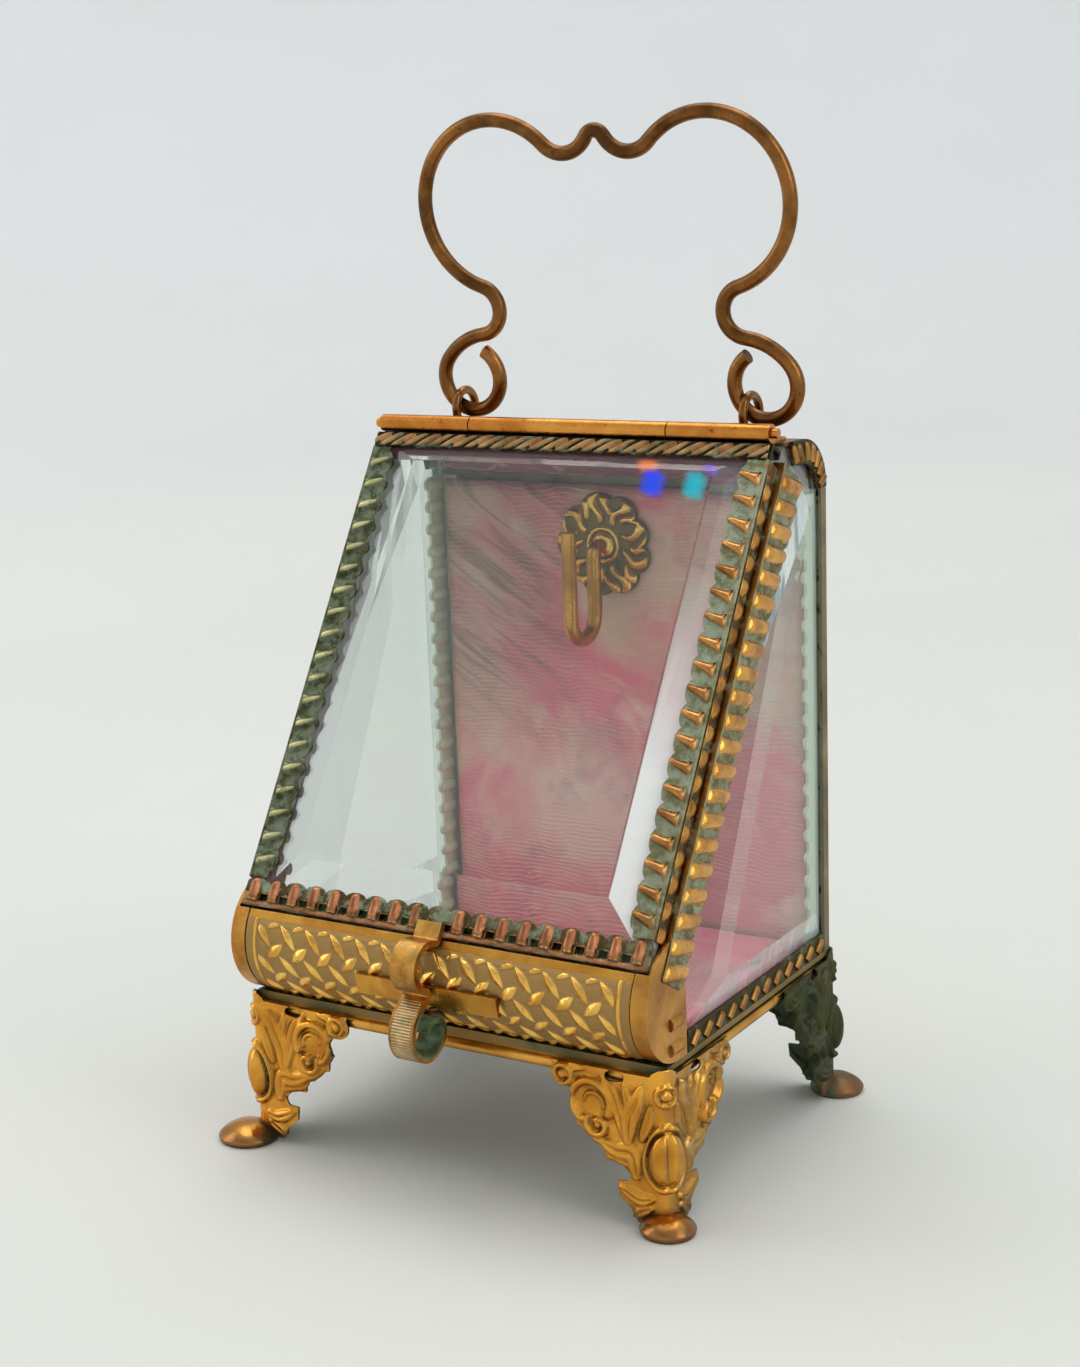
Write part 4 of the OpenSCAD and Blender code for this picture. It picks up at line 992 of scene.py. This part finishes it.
def foot_relief(s, z):
    """How far the stamped sheet stands out, at a distance s round the corner and a height z."""
    t = np.abs(s)
    height = 0.12 * np.sin(t * 1.3) * np.cos(z * 0.9)
    for points, width, rise in LEAVES:
        height = np.maximum(height, leaf(t, z, points, width, rise))
    for points, width, rise in SCROLLS:
        height = np.maximum(height, cord_ridge(t, z, points, width, rise))
    for across, up, area in SCROLL_EYES:
        eye = ((t - across) ** 2 + (z - up) ** 2) / area
        height = np.maximum(height, 0.8 * np.sqrt(unit(1 - eye)))
    up = (z - OVAL_CENTRE) / OVAL_HALF_HEIGHT
    half = OVAL_HALF_WIDTH * (1 - 0.22 * up)
    reach = np.sqrt((t / half) ** 2 + up ** 2)
    oval = 1.5 * dome(reach / 0.74) + 0.15
    rim = 0.75 * dome((reach - 0.9) / 0.1)
    height = np.where(reach < 1.02, np.maximum(np.where(reach < 0.76, oval, 0.0), rim), height)
    boss = np.hypot(t - BOSS[0], z - BOSS[1])
    height = np.maximum(height, 0.8 * dome(boss / 0.75))
    height = np.maximum(height, 0.6 * dome((boss - 1.35) / 0.35))
    return height


def foot_outline(s, z):
    """Signed distance to the foot's edge, less than 0 inside."""
    t = np.abs(s)
    edge = outline_distance(t, z, WING_EDGE)
    edge = np.minimum(edge, np.hypot(t - 15.7, z - 20.0) - 1.75)
    edge = np.minimum(edge, outline_distance(t, z, CROWN_EDGE))
    for points, width, _ in LEAVES:
        away, along = line_distance(t, z, curve(points))
        w = width * np.sin(np.pi * unit(along * 0.86 + 0.12)) ** 0.7
        edge = np.minimum(edge, away - w)
    slot = np.hypot((t - 7.7) / 1.5, (z - 21.0) / 0.75) - 1
    return np.maximum(edge, -slot * 0.75)


def foot_place(s, z, out):
    """A point of the sheet, bent round the corner, whose outer faces meet at the origin."""
    quarter = FOOT_BEND * math.pi / 4
    turn = np.clip(s / FOOT_BEND, -math.pi / 4, math.pi / 4) - math.pi / 4
    run = np.sign(s) * np.clip(np.abs(s) - quarter, 0, None)
    x = -FOOT_BEND + (FOOT_BEND + out) * np.cos(turn)
    y = FOOT_BEND + (FOOT_BEND + out) * np.sin(turn)
    return np.stack([x + np.minimum(run, 0), y + np.maximum(run, 0), z], axis=-1)


TOE_LIP = 0.75                  # the height of the rolled edge, and the share of the rings that it takes
LIP_SHARE = 0.2
TOE_RISE = 1.9


def toe_points(shift, size, rings=14, sides=56):
    """The domed toe that the foot stands on, with a rolled edge and faint dents."""
    points, faces = [], []
    for k in range(rings + 1):
        a = k / rings
        if a < LIP_SHARE:
            r = size * (0.93 + 0.07 * math.sin(a / LIP_SHARE * math.pi / 2))
            h = TOE_LIP * a / LIP_SHARE
        else:
            b = (a - LIP_SHARE) / (1 - LIP_SHARE)
            r = size * math.cos(b * math.pi / 2) ** 0.8
            h = TOE_LIP + TOE_RISE * math.sin(b * math.pi / 2) ** 1.6
        for j in range(sides):
            u = 2 * math.pi * j / sides
            dent = 0.12 * math.sin(5 * u + size) * a * (1 - a)
            points.append((shift[0] + r * math.cos(u), shift[1] + r * math.sin(u) * 0.96, h + dent))
    for k in range(rings):
        for j in range(sides):
            n = (j + 1) % sides
            faces.append([k * sides + j, k * sides + n, (k + 1) * sides + n, (k + 1) * sides + j])
    faces.append(list(range(sides))[::-1])
    faces.append([rings * sides + j for j in range(sides)])
    return np.array(points), faces


def snapped(s, z, edge):
    """Moves the grid's points that lie just beyond the edge back onto it."""
    step = 0.02
    over = np.clip(edge, 0, FOOT_CELL * 1.5)
    ds = (foot_outline(s + step, z) - foot_outline(s - step, z)) / (2 * step)
    dz = (foot_outline(s, z + step) - foot_outline(s, z - step)) / (2 * step)
    size = np.maximum(np.hypot(ds, dz), 0.5)
    return s - over * ds / size ** 2, z - over * dz / size ** 2


FOOT_CORNER = (34.7, 27.15)     # where the feet's outer faces meet, from the middle of the case
# How far each toe is bent sideways, and its radius.
TOES = {"foot_front_right": ((-0.7, 0.5), 3.9), "foot_front_left": ((1.1, -0.6), 4.6),
        "foot_rear_right": ((0.0, 0.0), 4.1), "foot_rear_left": ((0.0, 0.0), 4.1)}


def add_foot(name, finish):
    """One corner foot: a stamped sheet bent round the corner, hollow behind, on its toe."""
    low, high = box_mm(name)
    flip_x = -1 if low.x + high.x < 0 else 1
    flip_y = -1 if low.y + high.y > 0 else 1
    corner = Vector((FOOT_CORNER[0] * flip_x, CASE_Y - FOOT_CORNER[1] * flip_y, 0))
    columns = np.arange(-FOOT_REACH, FOOT_REACH + 0.01, FOOT_CELL)
    rows = np.arange(0.6, CROWN_TOP + 0.3, FOOT_CELL)
    s, z = np.meshgrid(columns, rows)
    edge = foot_outline(s, z)
    corners = np.stack([edge[:-1, :-1], edge[1:, :-1], edge[:-1, 1:], edge[1:, 1:]])
    keep = corners.min(0) < -0.02
    keep &= corners.max(0) < FOOT_CELL * 1.45
    s, z = snapped(s, z, edge)
    rise = foot_relief(s, z)
    fade = unit(-edge / 0.45)
    rise = rise * (0.45 + 0.55 * fade)
    points, faces = shell(foot_place(s, z, rise), foot_place(s, z, rise - FOOT_SHEET), keep)
    toe, toe_faces = toe_points(*TOES[name])
    faces += [[i + len(points) for i in f] for f in toe_faces]
    points = np.concatenate([points, toe])
    points = points * [flip_x, flip_y, 1] + [corner.x, corner.y, 0]
    if flip_x * flip_y < 0:
        faces = [f[::-1] for f in faces]
    piece = add_piece(name + "_stamped", points, faces, finish, "case")
    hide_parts(name)


# ---------- the padded silk ----------

def pad_grid(width, height, cell):
    u = np.linspace(-0.5, 0.5, max(2, int(width / cell)) + 1)
    v = np.linspace(-0.5, 0.5, max(2, int(height / cell)) + 1)
    return np.meshgrid(u, v)


def puckers(u, v, seed, count, reach, depth):
    """Soft creases that run in from the sides, each with its own place and length."""
    draw = random.Random(seed)
    height = np.zeros_like(u)
    for _ in range(count):
        angle = draw.uniform(0, math.pi)
        cu, cv = draw.uniform(-0.45, 0.45), draw.uniform(-0.45, 0.45)
        c, s = math.cos(angle), math.sin(angle)
        along, across = (u - cu) * c + (v - cv) * s, (v - cv) * c - (u - cu) * s
        across = across + 0.05 * np.sin(along * draw.uniform(5, 12) + cu * 9)
        crease = np.exp(-(along / reach) ** 2) * np.exp(-(across / 0.018) ** 2)
        height += depth * draw.uniform(0.4, 1) * crease
    return height


PAD_ROLL = 2.2                  # how far in from its edge a pad is rolled back


def add_pad(name, node, finish, normal_axis, front_sign, crown=0.35):
    """A thin stuffed pad of glued silk: crowned in front, its edges rolled back, flat where it is glued."""
    low, high = box_mm(node)
    size = high - low
    plane = [a for a in range(3) if a != normal_axis]
    u, v = pad_grid(size[plane[0]], size[plane[1]], 0.8)
    edge = np.minimum(0.5 - np.abs(u), (0.5 - np.abs(v)) * size[plane[1]] / size[plane[0]]) * size[plane[0]]
    roll = dome(1 - unit(edge / PAD_ROLL))
    swell = 0.55 + 0.45 * (np.cos(np.pi * u) * np.cos(np.pi * v)) ** 0.5
    soft = puckers(u, v, 7 + normal_axis, 26, 0.16, 0.3) - puckers(u, v, 17 + normal_axis, 22, 0.2, 0.25)
    thick = size[normal_axis]
    depth = thick * (0.22 + 0.78 * roll * (1 - crown + crown * swell)) + soft * roll * 0.8
    depth = np.clip(depth, 0.25, thick)
    back = low[normal_axis] if front_sign > 0 else high[normal_axis]
    grid = np.zeros((*u.shape, 3))
    grid[..., plane[0]] = (low[plane[0]] + high[plane[0]]) / 2 + u * size[plane[0]]
    grid[..., plane[1]] = (low[plane[1]] + high[plane[1]]) / 2 + v * size[plane[1]]
    front_points, back_points = grid.copy(), grid.copy()
    front_points[..., normal_axis] = back + front_sign * depth
    back_points[..., normal_axis] = back
    points, faces = sheet(front_points, back_points)
    if (front_sign < 0) == (normal_axis != 1):
        faces = [f[::-1] for f in faces]
    piece = add_piece(name, points, faces, finish, "case")
    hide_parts(node)


LINING_RADIUS = 5.9
LINING_THICKNESS = 1.2
LINING_ROLL = 1.6


def add_lining(name, node, finish):
    """The silk under the roof: glued to it, stuffed a little below, and turned down at the back."""
    low, high = box_mm(node)
    outer, width = LINING_RADIUS, high.x - low.x
    run = high.y - outer - low.y
    length = run + outer * math.pi / 2
    u, v = pad_grid(width, length, 0.7)
    x, along = u * width, (v + 0.5) * length
    edge = np.minimum((0.5 - np.abs(u)) * width, (0.5 - np.abs(v)) * length)
    roll = dome(1 - unit(edge / LINING_ROLL))
    soft = puckers(u, v, 61, 20, 0.2, 0.25)
    depth = np.clip(LINING_THICKNESS * (0.3 + 0.7 * roll) - soft * roll, 0.2, LINING_THICKNESS)
    turn = np.clip((along - run) / outer, 0, math.pi / 2)
    flat = np.minimum(along, run)

    def place(inward):
        reach = outer - inward
        return np.stack([x, low.y + flat + reach * np.sin(turn),
                         high.z - outer + reach * np.cos(turn)], axis=-1)

    points, faces = sheet(place(np.zeros_like(x)), place(depth))
    piece = add_piece(name, points, faces, finish, "case")
    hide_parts(node)


# ---------- all of it ----------

add_camera()
add_stage()
add_world()
add_lights()

# Each metal's colours are where it is rubbed, where it is dull, in its hollows as painted shade or on its
# ground, and of its crust. Then come how much of it is crusted and how rough the rubbed metal is; a stamped
# one also has the heights between which its ground turns into its raised parts.
gilt = gilded("gilt", (214, 156, 66), (158, 102, 38), (74, 44, 18), VERDIGRIS_PALE, 0.25, 0.27)
gilt_foot = gilded("gilt_feet", (238, 170, 66), (184, 118, 40), (44, 28, 12), (112, 116, 78), 0.25, 0.24,
                   dark_inside=True, grey_side=0.55)
dark_foot = gilded("dark_feet", (84, 78, 44), (52, 58, 36), (20, 24, 14), VERDIGRIS_DARK, 0.9, 0.4,
                   dark_inside=True)
woven = stamped("woven_gilt", outward_belly, 0.11, 0.2, (250, 200, 100), (214, 156, 66), (164, 130, 78),
                (140, 124, 84), 0.3, 0.17)
side_gilt = stamped("side_strip_gilt", outward_x, 34.14, 34.34, (228, 168, 78), (168, 112, 46),
                    (112, 104, 68), (142, 150, 120), 1.0, 0.24)
stile_gilt = stamped("stile_gilt", outward_door, 0.2, 0.42, (200, 142, 80), (132, 88, 46), (112, 108, 74),
                     (146, 156, 130), 1.0, 0.28)
side_claws = stamped("door_side_gilt", outward_x, 33.3, 33.45, (216, 156, 74), (150, 98, 42), (96, 78, 48),
                     (130, 136, 108), 0.7, 0.26)
# The left stile is a darker copy of the stiles' finish, with pale colour only on the crests: painted shade
# and painted highlights.
left_stile_painted_light = stamped("left_stile_gilt_painted_light", outward_door, 0.7, 0.95, (214, 206, 150), (156, 150, 100),
                    (70, 72, 46), (108, 118, 92), 1.0, 0.3)
rosette_gilt = stamped("rosette_gilt", outward_rosette, 0.12, 0.34, (250, 204, 100), (206, 152, 66),
                       (128, 110, 68), (120, 122, 90), 0.5, 0.18)
# The left stile's own edge is a darker copy of the right one's: painted shade.
left_edge_painted_shade = gilded("left_edge_painted_shade", (120, 122, 98), (88, 94, 72), (46, 50, 34), VERDIGRIS_DARK, 0.6, 0.42)
rail_gilt = stamped("rail_gilt", outward_door, 0.14, 0.3, (190, 126, 88), (116, 72, 46), (84, 68, 42),
                    (132, 146, 114), 0.85, 0.34)
top_gilt = stamped("top_rail_gilt", outward_door, 0.06, 0.3, (176, 122, 76), (110, 74, 42), (66, 58, 34),
                   (108, 120, 90), 0.5, 0.36)
# The rope's ground is near black: painted shade in the deep gaps between its strands.
rope_gilt_gap_shade = stamped("rope_gilt_gap_shade", outward_door, 0.3, 0.55, (190, 150, 104), (128, 104, 66), (38, 36, 20),
                    (140, 146, 118), 0.6, 0.34)
base_gilt = stamped("base_strip_gilt", outward_x, 34.06, 34.3, (186, 134, 68), (120, 82, 42), (72, 62, 36),
                    (104, 116, 84), 0.6, 0.36)
plain_gilt = gilded("plain_gilt", (212, 152, 70), (150, 98, 42), (70, 48, 22), VERDIGRIS_PALE, 0.35, 0.3)
edge_gilt = gilded("edge_gilt", (176, 122, 76), (118, 78, 46), (58, 48, 28), VERDIGRIS_PALE, 0.5, 0.36)
# The rear posts are painted pale, with almost no metal: a pale crust, painted lighter still as painted light
# on posts that stand in shade.
post_crust_painted_light = gilded("post_crust_painted_light", (214, 210, 174), (188, 190, 160), (150, 156, 128), (200, 212, 190), 1.4,
                   0.6, metal_share=0.05)
back_gilt = gilded("back_gilt", (150, 128, 100), (108, 90, 66), (60, 54, 36), (130, 136, 118), 0.9, 0.45)
tray_gilt = gilded("tray_gilt", (232, 172, 78), (186, 128, 52), (50, 52, 28), VERDIGRIS_DARK, 0.3, 0.24,
                   green_above=21.5)
bow_wire = wire_finish("bow_wire", (164, 110, 58), (86, 56, 28), 0.24)
hinge_wire = wire_finish("hinge_wire", (230, 160, 74), (184, 112, 44), 0.2)
# The pockets' near-black sheet is painted shade.
pocket_shade = gilded("pocket_painted_shade", (52, 50, 28), (34, 34, 20), (20, 20, 12), VERDIGRIS_DARK, 0.7, 0.6)
door_plate = door_glass_finish()
side_plate = side_glass_finish()
silk_back = silk_finish("silk_back", "Z", (222, 184, 160), (234, 124, 136), (240, 226, 206), rubbed=True)
silk_floor = silk_finish("silk_floor", "Y", (230, 138, 146), (244, 112, 138), (240, 204, 196))
# The roof's silk is a darker copy of the back's silk: painted shade under the roof.
silk_roof_shaded = silk_finish("silk_roof_shaded", "Y", (128, 76, 84), (150, 66, 88), (150, 116, 112))

wear("front_panel catch_bar rosette watch_hook", gilt)
wear("latch_clip", clip_finish())
wear("roof_panel", roof_finish())
wear("back_panel", back_gilt)
wear("side_strip_*", plain_gilt)
wear("roof_strip_* side_bottom_strip_*", base_gilt)
wear("rear_post_*", post_crust_painted_light)
wear("door_stile_right door_bottom_rail", edge_gilt)
wear("door_stile_left", left_edge_painted_shade)
wear("door_top_rail", top_gilt)
wear("base_tray foot_front_* foot_rear_*", tray_gilt)
wear("handle handle_eye_*", bow_wire)
wear("hinge_pin hinge_frame_knuckles hinge_door_knuckle", hinge_wire)
wear("door_glass", door_plate)
wear("side_glass_*", side_plate)
wear("back_pad floor_pad", silk_back)
wear("roof_lining", silk_roof_shaded)

add_weave(woven)
add_strips(side_gilt, stile_gilt, left_stile_painted_light, side_claws, rail_gilt, pocket_shade)
add_rope(rope_gilt_gap_shade)
add_rosette(rosette_gilt)
for foot_name in TOES:
    add_foot(foot_name, dark_foot if foot_name == "foot_rear_right" else gilt_foot)
add_pad("back_padding", "back_pad", silk_back, normal_axis=1, front_sign=-1)
add_pad("floor_padding", "floor_pad", silk_floor, normal_axis=2, front_sign=1)
add_lining("roof_padding", "roof_lining", silk_roof_shaded)
